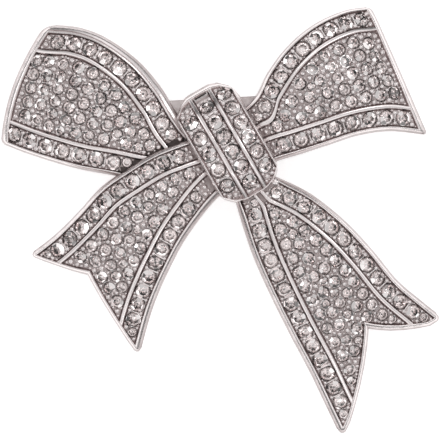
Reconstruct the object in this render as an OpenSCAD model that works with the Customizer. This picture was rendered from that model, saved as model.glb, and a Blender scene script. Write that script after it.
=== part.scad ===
// Bow brooch: a cast bow of two loops, two notched tails and a knot strap, set with round stones,
// with a pin finding on its back. It lies on its back, so +Z points at the viewer of the front.

/* [Bow] */
// Width across both loops
bow_w = 54.5; // [54:0.5:58]
// Height from the top of the right loop to the lowest tail tip
bow_h = 53.5; // [53:0.5:57]
// Depth from the surface it lies on to the top of the knot
bow_d = 10; // [9.6:0.2:12]

/* [Knot] */
// Width of the strap that wraps over the bow
knot_w = 8.55; // [8.4:0.05:9.2]
// Length of the strap from its top curl to its bottom curl
knot_l = 15.1; // [14.8:0.1:16.5]
// Lean of the strap from upright, in degrees
knot_lean = 30; // [26:1:34]
// Radius of the strap's upper corners
knot_top_r = 3.1; // [2.4:0.1:3.6]
// Radius of the strap's lower corners
knot_foot_r = 3.3; // [2:0.1:3.3]

/* [Cast metal] */
// Metal left under the stone seats
floor_t = 0.75; // [0.6:0.05:0.9]
// Depth of the outer rim, measured down from the girdles
skirt_d = 2.6; // [2.3:0.1:3]
// Width of a channel that holds one row of stones
channel_w = 2.1; // [2.05:0.05:2.15]
// Width of a rib between two channels
rib_w = 0.6; // [0.5:0.05:0.7]
// Height of the rims above the girdles
rim_rise = 0.25; // [0.1:0.05:0.35]
// Height of the ribs above the girdles
rib_rise = 0.15; // [0.05:0.05:0.3]
// Drop of the outer bevel below the girdles
bevel_drop = 0.35; // [0.2:0.05:0.5]
// Thickness of the plate behind the knot
plate_t = 0.9; // [0.7:0.1:1.2]

/* [Stones] */
// Diameter of the stones in the border rows and on the knot
big_stone = 1.8; // [1.7:0.05:1.85]
// Diameter of the stones in the fields
small_stone = 1.5; // [1.4:0.05:1.5]
// Gap that keeps a stone clear of the metal around it
stone_gap = 0.1; // [0.1:0.01:0.12]

/* [Pin] */
// Length of the base bar
bar_l = 21; // [19:0.5:21.5]
// Width of the base bar
bar_w = 2.2; // [1.8:0.1:2.4]
// Thickness of the base bar
bar_t = 0.6; // [0.5:0.05:0.8]
// Diameter of the pin stem
stem_d = 0.84; // [0.7:0.02:0.9]
// Height of the stem's centre line above the surface
stem_z = 1.5; // [1.4:0.05:1.6]

/* [Hidden] */

half_w = bow_w / 2;
half_h = bow_h / 2;

// Slope width of a rim's or a rib's side
lean = 0.1;
// Steps along a ribbon between its root and its end rim
steps = 11;
// Small step of a station or a share, for directions and normals
nudge = 0.01;
// Most that a slanted row stretches the rims and channels, and the least width left for the field
max_skew = 1.5;
field_least = 0.4;
// Least and most share of the field's width at which the web folds towards a notch
fold_least = 0.2;
fold_most = 0.8;
// Station whose lines set where the end and the notch are cut
near_end = 0.9;
// Stations over which the rims come down from the back plate to the surface
sole_from = 0.2;
sole_span = 0.3;
// Steps in which a border row is walked to space its stones evenly
walk_steps = 40;
// Least metal between the web's back and the flat sole at a ribbon's root
sole_step = 0.3;
// Half the thickness of a bar between two stones, and how deep it lies under the girdles
bar_r = 0.12;
bar_sink = 0.55;
// Clearance under a stone's point
point_gap = 0.13;

// Shares of a stone's diameter: depth below the girdle, height above it and width of the table
pavilion = 0.43;
crown_h = 0.16;
table_w = 0.56;
facets = 8;

seat_d = pavilion * big_stone + point_gap;
web_t = seat_d + floor_t;
silver = [0.80, 0.78, 0.79];
crystal = [0.88, 0.86, 0.90];

// Flat back of the plate behind the knot, where the pin's base bar sits
back_z = 0.44 * bow_d;
plate_x = [-0.32, 0.33];
plate_y = [0.37, 0.547];
plate_corner = 0.6;
plate_turn = 3;
bar_y = 0.445 * half_h;
bar_gap = 0.05;
// Hinge knuckle and catch of the pin, each at this distance from the middle
hinge_x = 0.43 * bar_l;
hinge_r = 1.2;
catch_r = 1.15;
catch_t = 0.45;
catch_l = 1.6;
// How far the stem's point stands past the catch
stem_over = 1.8;

// Columns of a section row. Positions are shares of half_w and half_h, heights are shares of bow_d:
// station along the ribbon, edge A x, edge A y, edge B x, edge B y, height at A, height at B, bulge
c_ax = 1;
c_ay = 2;
c_bx = 3;
c_by = 4;
c_az = 5;
c_bz = 6;
c_bulge = 7;

// Left loop, from the knot to the outer end. Edge A is the upper one.
left_loop = [
    [0.00, -0.138, 0.411, -0.252, 0.178, 0.62, 0.60, 0.02],
    [0.12, -0.202, 0.505, -0.367, 0.185, 0.63, 0.60, 0.03],
    [0.27, -0.275, 0.624, -0.505, 0.213, 0.64, 0.58, 0.05],
    [0.45, -0.381, 0.748, -0.651, 0.241, 0.60, 0.54, 0.09],
    [0.65, -0.528, 0.855, -0.803, 0.285, 0.52, 0.46, 0.12],
    [0.80, -0.651, 0.903, -0.908, 0.321, 0.42, 0.37, 0.12],
    [0.93, -0.775, 0.911, -1.000, 0.358, 0.30, 0.28, 0.10],
    [1.00, -0.835, 0.914, -1.053, 0.379, 0.25, 0.24, 0.09]];

// Right loop, from the knot to the outer end. Edge A is the lower one.
right_loop = [
    [0.00, 0.193, 0.243, 0.092, 0.505, 0.61, 0.60, 0.02],
    [0.12, 0.266, 0.278, 0.165, 0.579, 0.62, 0.63, 0.04],
    [0.25, 0.358, 0.306, 0.220, 0.689, 0.61, 0.64, 0.06],
    [0.43, 0.495, 0.351, 0.312, 0.813, 0.58, 0.61, 0.09],
    [0.62, 0.633, 0.397, 0.431, 0.914, 0.51, 0.54, 0.12],
    [0.81, 0.780, 0.419, 0.569, 0.980, 0.40, 0.42, 0.12],
    [1.00, 0.947, 0.404, 0.688, 1.002, 0.25, 0.25, 0.09]];

// Left tail, from the knot to the tips. Edge A is the upper left one and lies over the left loop.
left_tail = [
    [0.00, -0.092, 0.393, 0.037, 0.150, 0.68, 0.66, 0.02],
    [0.11, -0.193, 0.357, -0.032, 0.084, 0.71, 0.68, 0.03],
    [0.25, -0.312, 0.308, -0.110, -0.016, 0.72, 0.66, 0.04],
    [0.385, -0.431, 0.234, -0.172, -0.110, 0.68, 0.61, 0.06],
    [0.53, -0.546, 0.152, -0.229, -0.220, 0.60, 0.53, 0.08],
    [0.68, -0.651, 0.037, -0.280, -0.332, 0.49, 0.44, 0.09],
    [0.83, -0.761, -0.072, -0.323, -0.449, 0.37, 0.34, 0.08],
    [1.00, -0.872, -0.159, -0.372, -0.626, 0.23, 0.22, 0.06]];

// Right tail, from the knot to the tips. Edge A is the lower left one.
right_tail = [
    [0.00, 0.055, 0.159, 0.202, 0.224, 0.64, 0.66, 0.01],
    [0.085, 0.083, 0.047, 0.294, 0.185, 0.65, 0.66, 0.03],
    [0.23, 0.147, -0.154, 0.427, 0.114, 0.64, 0.64, 0.06],
    [0.395, 0.225, -0.336, 0.573, -0.005, 0.60, 0.60, 0.09],
    [0.57, 0.321, -0.533, 0.697, -0.138, 0.52, 0.53, 0.10],
    [0.74, 0.417, -0.717, 0.817, -0.285, 0.42, 0.44, 0.10],
    [0.89, 0.500, -0.893, 0.936, -0.388, 0.31, 0.32, 0.08],
    [1.00, 0.560, -1.019, 1.023, -0.458, 0.23, 0.23, 0.06]];

// Knot strap, from its top curl to its foot. Edge A is the left one. The strap is straight, so its
// rows follow from its centre, width, length and lean.
// Columns: station, height at both edges, bulge, as shares of bow_d
knot_arch = [
    [0.00, 0.56, 0.02], [0.08, 0.66, 0.04], [0.20, 0.78, 0.07], [0.36, 0.85, 0.095], [0.55, 0.87, 0.10],
    [0.74, 0.84, 0.09], [0.88, 0.77, 0.06], [1.00, 0.68, 0.03]];
knot_centre = [0.033, 0.359];
knot_axis = [sin(knot_lean), -cos(knot_lean)];
knot_across = [cos(knot_lean), sin(knot_lean)];
knot = [for (k = knot_arch)
    let (mid = [knot_centre[0] * half_w, knot_centre[1] * half_h] + knot_axis * knot_l * (k[0] - 0.5),
        a = mid - knot_across * knot_w / 2,
        b = mid + knot_across * knot_w / 2)
    [k[0], a[0] / half_w, a[1] / half_h, b[0] / half_w, b[1] / half_h, k[1], k[1], k[2]]];

// Columns of a trim row, in millimetres unless said: rim at edge A, rim at edge B, rim at the end,
// end bow, corner radius at A, corner radius at B, then the notch: its station, its share of the
// width, and how full the metal is on its A side and on its B side, then the stations where the end
// meets edge A and edge B before its corners are rounded
t_rim_a = 0;
t_rim_b = 1;
t_rim_end = 2;
t_bow = 3;
t_r_a = 4;
t_r_b = 5;
t_notch_s = 6;
t_notch_v = 7;
t_full_a = 8;
t_full_b = 9;
t_reach_a = 10;
t_reach_b = 11;
left_loop_trim = [1.15, 0.50, 0.50, 1.5, 1.4, 0.5, 1, 0.5, 1, 1, 1, 1];
right_loop_trim = [0.55, 0.50, 0.90, 0, 0.5, 0.9, 1.015, 0.5, 1, 1, 1.012, 1.017];
left_tail_trim = [0.60, 0.80, 0.60, 0, 1.0, 1.0, 0.876, 0.40, 1, 1.3, 1.018, 1.012];
right_tail_trim = [0.75, 0.65, 0.75, 0, 1.6, 2.2, 0.787, 0.585, 1.3, 1.12, 1.014, 1.034];

// Columns of a border row: edge (0 for A, 1 for B), first station, last station, number of stones
left_loop_borders = [[0, 0.155, 0.865, 9], [1, 0.285, 0.885, 7]];
right_loop_borders = [[0, 0.186, 0.912, 8], [1, 0.15, 0.90, 9]];
left_tail_borders = [[0, 0.139, 0.88, 10], [1, 0.245, 0.898, 9]];
right_tail_borders = [[0, 0.133, 0.902, 14], [1, 0.167, 0.882, 11]];

// Columns of a field row: first station, last station, first share of the field's width, last
// share, number of stones. Share 0 touches the rib by edge A and share 1 the rib by edge B.
left_loop_field = [
    [0.930, 0.872, 0.02, 0.97, 5], [0.868, 0.795, 0.00, 0.97, 5], [0.790, 0.715, 0.04, 1.00, 6],
    [0.705, 0.640, 0.02, 0.84, 5], [0.622, 0.560, 0.00, 0.97, 5], [0.538, 0.485, 0.04, 0.97, 5],
    [0.458, 0.400, 0.05, 0.97, 4], [0.380, 0.362, 0.10, 0.44, 2], [0.298, 0.274, 0.06, 0.98, 3],
    [0.218, 0.218, 0.10, 0.10, 1]];
right_loop_field = [
    [0.885, 0.919, 0.92, 0.07, 5], [0.790, 0.835, 0.98, 0.03, 5], [0.700, 0.745, 0.96, 0.03, 5],
    [0.610, 0.655, 1.00, 0.02, 5], [0.515, 0.560, 0.97, 0.02, 4], [0.410, 0.460, 0.93, 0.00, 3],
    [0.325, 0.345, 0.80, 0.02, 2], [0.255, 0.255, 0.55, 0.55, 1], [0.185, 0.185, 0.00, 0.00, 1]];
left_tail_field = [
    [0.140, 0.828, 0.00, 0.00, 10], [0.265, 0.265, 0.85, 0.85, 1], [0.412, 0.796, 0.44, 0.26, 6],
    [0.360, 0.882, 1.00, 0.99, 8], [0.600, 0.838, 0.63, 0.55, 4], [0.855, 0.855, 0.77, 0.77, 1]];
right_tail_field = [
    [0.176, 0.845, 0.01, 0.03, 12], [0.250, 0.790, 1.00, 0.97, 10], [0.335, 0.335, 0.50, 0.50, 1],
    [0.405, 0.405, 0.47, 0.47, 1], [0.475, 0.480, 0.33, 0.66, 2], [0.548, 0.552, 0.32, 0.67, 2],
    [0.634, 0.622, 0.27, 0.745, 3], [0.688, 0.688, 0.26, 0.74, 3], [0.755, 0.750, 0.24, 0.76, 3]];

// Columns of a knot row: place across (-1, 0 or 1), first station, last station, number of stones
knot_rows = [[-1, 0.21, 0.81, 5], [0, 0.16, 0.87, 6], [1, 0.137, 0.820, 6]];

// Smooth curves through the rows of a table
function row_of(rows, s, i = 0) = i + 2 >= len(rows) || s < rows[i + 1][0] ? i : row_of(rows, s, i + 1);
function slope(rows, c, i) =
    let (lo = max(i - 1, 0), hi = min(i + 1, len(rows) - 1))
    (rows[hi][c] - rows[lo][c]) / (rows[hi][0] - rows[lo][0]);
function at(rows, c, s) =
    let (i = row_of(rows, s),
        h = rows[i + 1][0] - rows[i][0],
        t = (s - rows[i][0]) / h,
        rise = t * t * (3 - 2 * t))
    rows[i][c] * (1 - rise) + rows[i + 1][c] * rise
        + h * t * (1 - t) * ((1 - t) * slope(rows, c, i) - t * slope(rows, c, i + 1));
function mix(a, b, t) = a + (b - a) * t;
function smooth(t) = let (k = min(max(t, 0), 1)) k * k * (3 - 2 * k);

// A ribbon's two edges, its width, and the point of its girdle plane at a station and a share of width
function edge_a(rows, s) = [at(rows, c_ax, s) * half_w, at(rows, c_ay, s) * half_h];
function edge_b(rows, s) = [at(rows, c_bx, s) * half_w, at(rows, c_by, s) * half_h];
function width(rows, s) = norm(edge_b(rows, s) - edge_a(rows, s));
function sheet(rows, s, v) =
    let (p = mix(edge_a(rows, s), edge_b(rows, s), v))
    [p[0], p[1], bow_d * (mix(at(rows, c_az, s), at(rows, c_bz, s), v) + at(rows, c_bulge, s) * 4 * v * (1 - v))];
function length(rows) = norm(mix(edge_a(rows, 0), edge_b(rows, 0), 0.5) - mix(edge_a(rows, 0.5), edge_b(rows, 0.5), 0.5))
    + norm(mix(edge_a(rows, 0.5), edge_b(rows, 0.5), 0.5) - mix(edge_a(rows, 1), edge_b(rows, 1), 0.5));
function unit(a) = a / norm(a);
function along(rows, s, v) = unit(sheet(rows, s + nudge, v) - sheet(rows, s - nudge, v));
function normal(rows, s, v) =
    unit(cross(along(rows, s, v), sheet(rows, s, v + nudge) - sheet(rows, s, v - nudge)));

// Profile of the metal across a ribbon: distance from its edge, lift above the girdle plane
function rim_lines(rim) = [[0, -bevel_drop], [0.6 * rim, 0.8 * rim_rise], [rim - lean, rim_rise], [rim, -seat_d]];
function rib_lines(d) = [[d, -seat_d], [d + lean, rib_rise], [d + rib_w - lean, rib_rise], [d + rib_w, -seat_d]];
function side_lines(rim) = concat(rim_lines(rim), rib_lines(rim + channel_w));
function side_w(rim) = rim + channel_w + rib_w;
function mirrored(lines, w, squeeze) = [for (k = [len(lines) - 1 : -1 : 0]) [w - lines[k][0] * squeeze, lines[k][1]]];
// How much longer a distance gets when it is measured along a row that meets an edge at a slant
function skew(edge_step, row) = min(1 / abs(cross(unit(edge_step), unit(row))), max_skew);
function row_step(rows, s) = edge_b(rows, s) - edge_a(rows, s);
function skew_a(rows, s) = skew(edge_a(rows, s + nudge) - edge_a(rows, s - nudge), row_step(rows, s));
function skew_b(rows, s) = skew(edge_b(rows, s + nudge) - edge_b(rows, s - nudge), row_step(rows, s));
function ribbon_lines(rows, s, trim) =
    let (w = width(rows, s),
        a = skew_a(rows, s),
        b = skew_b(rows, s),
        squeeze = min(1, (w - field_least) / (side_w(trim[t_rim_a]) * a + side_w(trim[t_rim_b]) * b)),
        from = side_w(trim[t_rim_a]) * a * squeeze,
        to = w - side_w(trim[t_rim_b]) * b * squeeze,
        fold = min(max((trim[t_notch_v] * w - from) / (to - from), fold_least), fold_most))
    concat([for (k = side_lines(trim[t_rim_a])) [k[0] * a * squeeze, k[1]]],
        [for (f = [fold / 2, fold, (1 + fold) / 2]) [mix(from, to, f), -seat_d]],
        mirrored(side_lines(trim[t_rim_b]), w, b * squeeze));
// The knot has three channels, so its rims take what is left of its width
knot_pitch = channel_w + rib_w;
knot_rim = (knot_w - 3 * channel_w - 2 * rib_w) / 2;
knot_lines = concat(rim_lines(knot_rim), [[knot_rim + channel_w / 2, -seat_d]],
    rib_lines(knot_rim + channel_w), [[knot_w / 2, -seat_d]],
    rib_lines(knot_rim + channel_w + knot_pitch), [[knot_w - knot_rim - channel_w / 2, -seat_d]],
    mirrored(rim_lines(knot_rim), knot_w, 1));

// Where a ribbon ends on one of its lines: a bowed edge, rounded corners and a notch
function corner(d, r) = d >= r ? 0 : r - sqrt(r * r - (r - d) * (r - d));
function reach(v, trim) = mix(trim[t_reach_a], trim[t_reach_b], v);
function notch(v, trim) = (reach(trim[t_notch_v], trim) - trim[t_notch_s]) * (v < trim[t_notch_v]
    ? pow(v / trim[t_notch_v], trim[t_full_a])
    : pow((1 - v) / (1 - trim[t_notch_v]), trim[t_full_b]));
function end_of(d, w, l, trim) = reach(d / w, trim) - notch(d / w, trim)
    - (trim[t_bow] * pow(2 * d / w - 1, 2) + corner(d, trim[t_r_a]) + corner(w - d, trim[t_r_b])) / l;

// Front and back points of a ribbon's skin. Each row of the grid holds [point of the girdle plane,
// normal, lift, whether it is rim]. The rim's wall runs down to the sole, and the web is even.
function skin(grid, sole, wall) = [
    [for (row = grid) [for (g = row) g[0] + g[1] * g[2]]],
    [for (i = [0 : len(grid) - 1]) [for (g = grid[i])
        let (web = g[0] - g[1] * web_t)
        g[3] ? [g[0][0], g[0][1], max(sole[i], g[0][2] - wall)]
             : [web[0], web[1], max(web[2], sole[i] + sole_step)]]]];
function quad(a, b, c, d) = [[a, b, c], [a, c, d]];
module shell(layers) {
    n = len(layers[0]);
    m = len(layers[0][0]);
    function top(i, j) = i * m + j;
    function back(i, j) = (n + i) * m + j;
    polyhedron(points = [for (layer = layers) for (row = layer) each row], faces = concat(
        [for (i = [1 : n - 1]) for (j = [1 : m - 1]) each
            quad(top(i - 1, j - 1), top(i - 1, j), top(i, j), top(i, j - 1))],
        [for (i = [1 : n - 1]) for (j = [1 : m - 1]) each
            quad(back(i - 1, j - 1), back(i, j - 1), back(i, j), back(i - 1, j))],
        [for (i = [1 : n - 1]) each quad(top(i - 1, 0), top(i, 0), back(i, 0), back(i - 1, 0))],
        [for (i = [1 : n - 1]) each quad(top(i, m - 1), top(i - 1, m - 1), back(i - 1, m - 1), back(i, m - 1))],
        [for (j = [1 : m - 1]) each quad(top(0, j), top(0, j - 1), back(0, j - 1), back(0, j))],
        [for (j = [1 : m - 1]) each quad(top(n - 1, j - 1), top(n - 1, j), back(n - 1, j), back(n - 1, j - 1))]));
}

// A rim line that runs across the ribbon's own lines keeps the higher lift, and the outer edge its bevel
function lip_lift(e, lift, outer) = outer || e[0] == 0 ? -bevel_drop : max(lift, e[1]);
function inner_lines(rim) = [for (e = rim_lines(rim)) if (e[0] < rim) e];

// A loop or tail: even steps from the root to the end rim, then the rim's own lines
module ribbon(rows, trim) {
    l = length(rows);
    ends = [for (k = ribbon_lines(rows, near_end, trim)) end_of(k[0], width(rows, near_end), l, trim)];
    last = len(ends) - 1;
    rim = inner_lines(trim[t_rim_end]);
    function spot(s, k, lift, walled) =
        let (v = k[0] / width(rows, s))
        [sheet(rows, s, v), normal(rows, s, v), lift, walled];
    body = [for (i = [0 : steps]) [for (j = [0 : last])
        let (s = (ends[j] - trim[t_rim_end] / l) * i / steps, k = ribbon_lines(rows, s, trim)[j])
        spot(s, k, k[1], j < 3 || j > last - 3)]];
    lip = [for (i = [len(rim) - 1 : -1 : 0]) [for (j = [0 : last])
        let (s = ends[j] - rim[i][0] / l, k = ribbon_lines(rows, s, trim)[j])
        spot(s, k, lip_lift(rim[i], k[1], j == 0 || j == last), true)]];
    grid = concat(body, lip);
    sole = [for (i = [0 : len(grid) - 1]) back_z * (1 - smooth((i / steps - sole_from) / sole_span))];
    shell(skin(grid, sole, skirt_d));
}

// The knot strap has a rim all round and walls that run down to the plate, and is hollow at the back
module knot_strap() {
    ds = [for (k = knot_lines) k[0]];
    last = len(ds) - 1;
    starts = [for (d = ds) (corner(d, knot_top_r) + corner(knot_w - d, knot_top_r)) / knot_l];
    ends = [for (d = ds) 1 - (corner(d, knot_foot_r) + corner(knot_w - d, knot_foot_r)) / knot_l];
    rim = inner_lines(knot_rim);
    function spot(s, j, lift, walled) =
        [sheet(knot, s, ds[j] / knot_w), normal(knot, s, ds[j] / knot_w), lift, walled];
    function lip(s, j, e) = spot(s, j, lip_lift(e, knot_lines[j][1], j == 0 || j == last), true);
    body = [for (i = [0 : steps]) [for (j = [0 : last])
        spot(mix(starts[j] + knot_rim / knot_l, ends[j] - knot_rim / knot_l, i / steps), j,
            knot_lines[j][1], j < 3 || j > last - 3)]];
    grid = concat(
        [for (e = rim) [for (j = [0 : last]) lip(starts[j] + e[0] / knot_l, j, e)]],
        body,
        [for (i = [len(rim) - 1 : -1 : 0]) [for (j = [0 : last]) lip(ends[j] - rim[i][0] / knot_l, j, rim[i])]]);
    shell(skin(grid, [for (row = grid) back_z + sole_step / 2], bow_d));
}

// Bars cast across the knot's channels, one between two stones
module knot_bars() {
    for (row = knot_rows) for (k = [0.5 : 1 : row[3] - 1]) {
        s = mix(row[1], row[2], k / (row[3] - 1));
        hull() for (side = [-1, 1]) {
            v = 0.5 + (row[0] * knot_pitch + side * channel_w / 2) / knot_w;
            translate(sheet(knot, s, v) - normal(knot, s, v) * bar_sink) sphere(r = bar_r, $fn = 6);
        }
    }
}

// Plate behind the knot that joins the loops and carries the pin
module back_plate() {
    translate([0, 0, back_z]) rotate(plate_turn) hull() for (x = plate_x) for (y = plate_y)
        translate([x * half_w, y * half_h, 0]) cylinder(h = plate_t, r = plate_corner, $fn = 12);
}

module bow_casting() {
    color(silver) union() {
        ribbon(left_loop, left_loop_trim);
        ribbon(right_loop, right_loop_trim);
        ribbon(left_tail, left_tail_trim);
        ribbon(right_tail, right_tail_trim);
        knot_strap();
        knot_bars();
        back_plate();
    }
}

// Stones. A seat is [point of the girdle plane, direction along the ribbon, normal, diameter].
function seat(rows, s, v, dia) = [sheet(rows, s, v), along(rows, s, v), normal(rows, s, v), dia];

// Border row at an edge, spaced by the distance walked along it
function border_share(rows, trim, edge, s) =
    let (d = (trim[edge] + channel_w / 2) / width(rows, s))
    edge == 0 ? d * skew_a(rows, s) : 1 - d * skew_b(rows, s);
function distances(ps) = [for (k = 0, d = 0; k < len(ps);
    d = d + (k + 1 < len(ps) ? norm(ps[k + 1] - ps[k]) : 0), k = k + 1) d];
function border_seats(rows, trim, borders) = [for (b = borders)
    let (ss = [for (k = [0 : walk_steps]) mix(b[1], b[2], k / walk_steps)],
        ds = distances([for (s = ss) sheet(rows, s, border_share(rows, trim, b[0], s))]),
        stations = [for (k = [0 : walk_steps]) [ds[k], ss[k]]])
    for (k = [0 : b[3] - 1])
        let (s = lookup(ds[walk_steps] * k / (b[3] - 1), stations))
        seat(rows, s, border_share(rows, trim, b[0], s), big_stone)];

// Field rows between the two ribs
function field_share(rows, trim, f, s) =
    let (w = width(rows, s), clear = small_stone / 2 + stone_gap)
    mix((side_w(trim[t_rim_a]) + clear) * skew_a(rows, s),
        w - (side_w(trim[t_rim_b]) + clear) * skew_b(rows, s), f) / w;
function field_seats(rows, trim, field) = [for (r = field) for (k = [0 : r[4] - 1])
    let (t = r[4] > 1 ? k / (r[4] - 1) : 0, s = mix(r[0], r[1], t))
    seat(rows, s, field_share(rows, trim, mix(r[2], r[3], t), s), small_stone)];

// A cut stone as rings of points: its point, then the girdle, then the table
function ring(r, z) = [for (k = [0 : facets - 1]) [r * cos(360 * k / facets), r * sin(360 * k / facets), z]];
function gem(dia) = concat([[0, 0, -pavilion * dia]], ring(dia / 2, 0), ring(dia / 2 * table_w, crown_h * dia));
gem_points = 1 + 2 * facets;
function gem_faces(first) = concat([[for (k = [facets : -1 : 1]) first + facets + k]],
    [for (k = [0 : facets - 1])
        let (a = first + 1 + k, b = first + 1 + (k + 1) % facets)
        each [[first, a, b], [a, a + facets, b + facets, b]]]);
module stones(seats) {
    color(crystal) polyhedron(
        points = [for (st = seats) for (p = gem(st[3]))
            st[0] + p[0] * st[1] + p[1] * cross(st[2], st[1]) + p[2] * st[2]],
        faces = [for (k = [0 : len(seats) - 1]) each gem_faces(k * gem_points)],
        convexity = 6);
}

module left_loop_stones() {
    stones(concat(border_seats(left_loop, left_loop_trim, left_loop_borders),
        field_seats(left_loop, left_loop_trim, left_loop_field)));
}

module right_loop_stones() {
    stones(concat(border_seats(right_loop, right_loop_trim, right_loop_borders),
        field_seats(right_loop, right_loop_trim, right_loop_field)));
}

module left_tail_stones() {
    stones(concat(border_seats(left_tail, left_tail_trim, left_tail_borders),
        field_seats(left_tail, left_tail_trim, left_tail_field)));
}

module right_tail_stones() {
    stones(concat(border_seats(right_tail, right_tail_trim, right_tail_borders),
        field_seats(right_tail, right_tail_trim, right_tail_field)));
}

module knot_stones() {
    stones([for (row = knot_rows) for (k = [0 : row[3] - 1])
        seat(knot, mix(row[1], row[2], k / (row[3] - 1)), 0.5 + row[0] * knot_pitch / knot_w, big_stone)]);
}

// Pin finding: base bar, hinge knuckle, stem and a catch that is open on one side
module pin_back() {
    bar_z = back_z - bar_t - bar_gap;
    color(silver) translate([0, bar_y, 0]) difference() {
        union() {
            translate([-bar_l / 2, -bar_w / 2, bar_z]) cube([bar_l, bar_w, bar_t]);
            for (x = [-bar_l / 2, bar_l / 2]) translate([x, 0, bar_z]) cylinder(h = bar_t, d = bar_w, $fn = 48);
            translate([hinge_x, bar_w / 2, stem_z]) rotate([90, 0, 0]) cylinder(h = bar_w, r = hinge_r, $fn = 48);
            translate([hinge_x - hinge_r, -bar_w / 2, stem_z]) cube([2 * hinge_r, bar_w, bar_z - stem_z + 0.1]);
            translate([-hinge_x - catch_l / 2, 0, stem_z]) rotate([0, 90, 0])
                cylinder(h = catch_l, r = catch_r, $fn = 48);
            translate([-hinge_x - catch_l / 2, -catch_r, stem_z]) cube([catch_l, catch_t, bar_z - stem_z + 0.1]);
        }
        translate([-hinge_x - catch_l, 0, stem_z]) rotate([0, 90, 0])
            cylinder(h = 2 * catch_l, r = catch_r - catch_t, $fn = 48);
        translate([-hinge_x - catch_l, 0, stem_z]) cube([2 * catch_l, 2 * catch_r, catch_r + 0.1]);
    }
    color(silver) translate([-hinge_x - stem_over, bar_y, stem_z]) rotate([0, 90, 0])
        cylinder(h = 2 * hinge_x + stem_over, d = stem_d, $fn = 48);
}

bow_casting();
left_loop_stones();
right_loop_stones();
left_tail_stones();
right_tail_stones();
knot_stones();
pin_back();
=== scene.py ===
# Bow brooch: finish of the cast bow, its set stones and the pin behind it
import math

import bpy
import numpy as np
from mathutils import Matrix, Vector, geometry


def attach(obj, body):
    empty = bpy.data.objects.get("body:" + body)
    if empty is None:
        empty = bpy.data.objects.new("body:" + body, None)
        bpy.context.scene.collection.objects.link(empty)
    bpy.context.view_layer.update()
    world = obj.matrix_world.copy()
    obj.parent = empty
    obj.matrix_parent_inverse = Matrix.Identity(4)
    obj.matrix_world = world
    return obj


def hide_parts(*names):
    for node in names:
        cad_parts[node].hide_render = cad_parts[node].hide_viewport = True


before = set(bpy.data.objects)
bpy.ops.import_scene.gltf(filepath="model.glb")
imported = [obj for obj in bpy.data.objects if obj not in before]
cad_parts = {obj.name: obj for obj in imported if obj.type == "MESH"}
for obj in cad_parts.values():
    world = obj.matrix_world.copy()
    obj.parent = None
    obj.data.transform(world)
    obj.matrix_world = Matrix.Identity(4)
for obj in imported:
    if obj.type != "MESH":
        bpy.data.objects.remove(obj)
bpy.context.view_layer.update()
mm = 0.001
print("frame loaded")


# Sizes of the casting, in millimetres but for stations, shares and counts. Drops count from the plane
# of the stones' girdles.
cast = {
    "halfWidth": 27.25,
    "halfHeight": 26.75,
    "depth": 10.0,
    "channel": 2.1,  # width of a channel for one row of stones
    "rib": 0.6,
    "fieldLeast": 0.4,  # least width of a field
    "foldRange": (0.2, 0.8),  # where the line to the notch may lie in it
    "floorDrop": 0.9,  # floor of the channels, under the seats
    "plateDrop": 0.04,  # face of the metal between the stones
    "ditch": 0.26,  # how much deeper it lies beside rims and ribs
    "ditchWidth": 0.14,
    "webDrop": 1.65,  # back of the web
    "webOver": 0.3,  # least height of the web over the sole
    "skirt": 2.6,  # depth of the outer wall
    "hem": 0.12,  # height of the wall's foot, and how far it turns in
    "hemIn": 0.07,
    "backHeight": 4.4,  # flat back behind the knot
    "knotSole": 4.55,
    "soleFrom": 0.2,  # stations over which the wall comes down to the surface
    "soleSpan": 0.3,
    "rows": 64,
    "knotRows": 44,
    "samples": 801,  # points across a ribbon where its end is measured
}
pitch = cast["channel"] + cast["rib"]
nudge = 0.01  # step over which a slope along a strap is taken
gauge = 0.9  # station where places across a strap are measured
farAway = 9.0  # longer than any gap that counts
mostSlant = 1.5  # limits of what a slanting edge and a steep end add to a distance
mostSkew = 2.4

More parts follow.
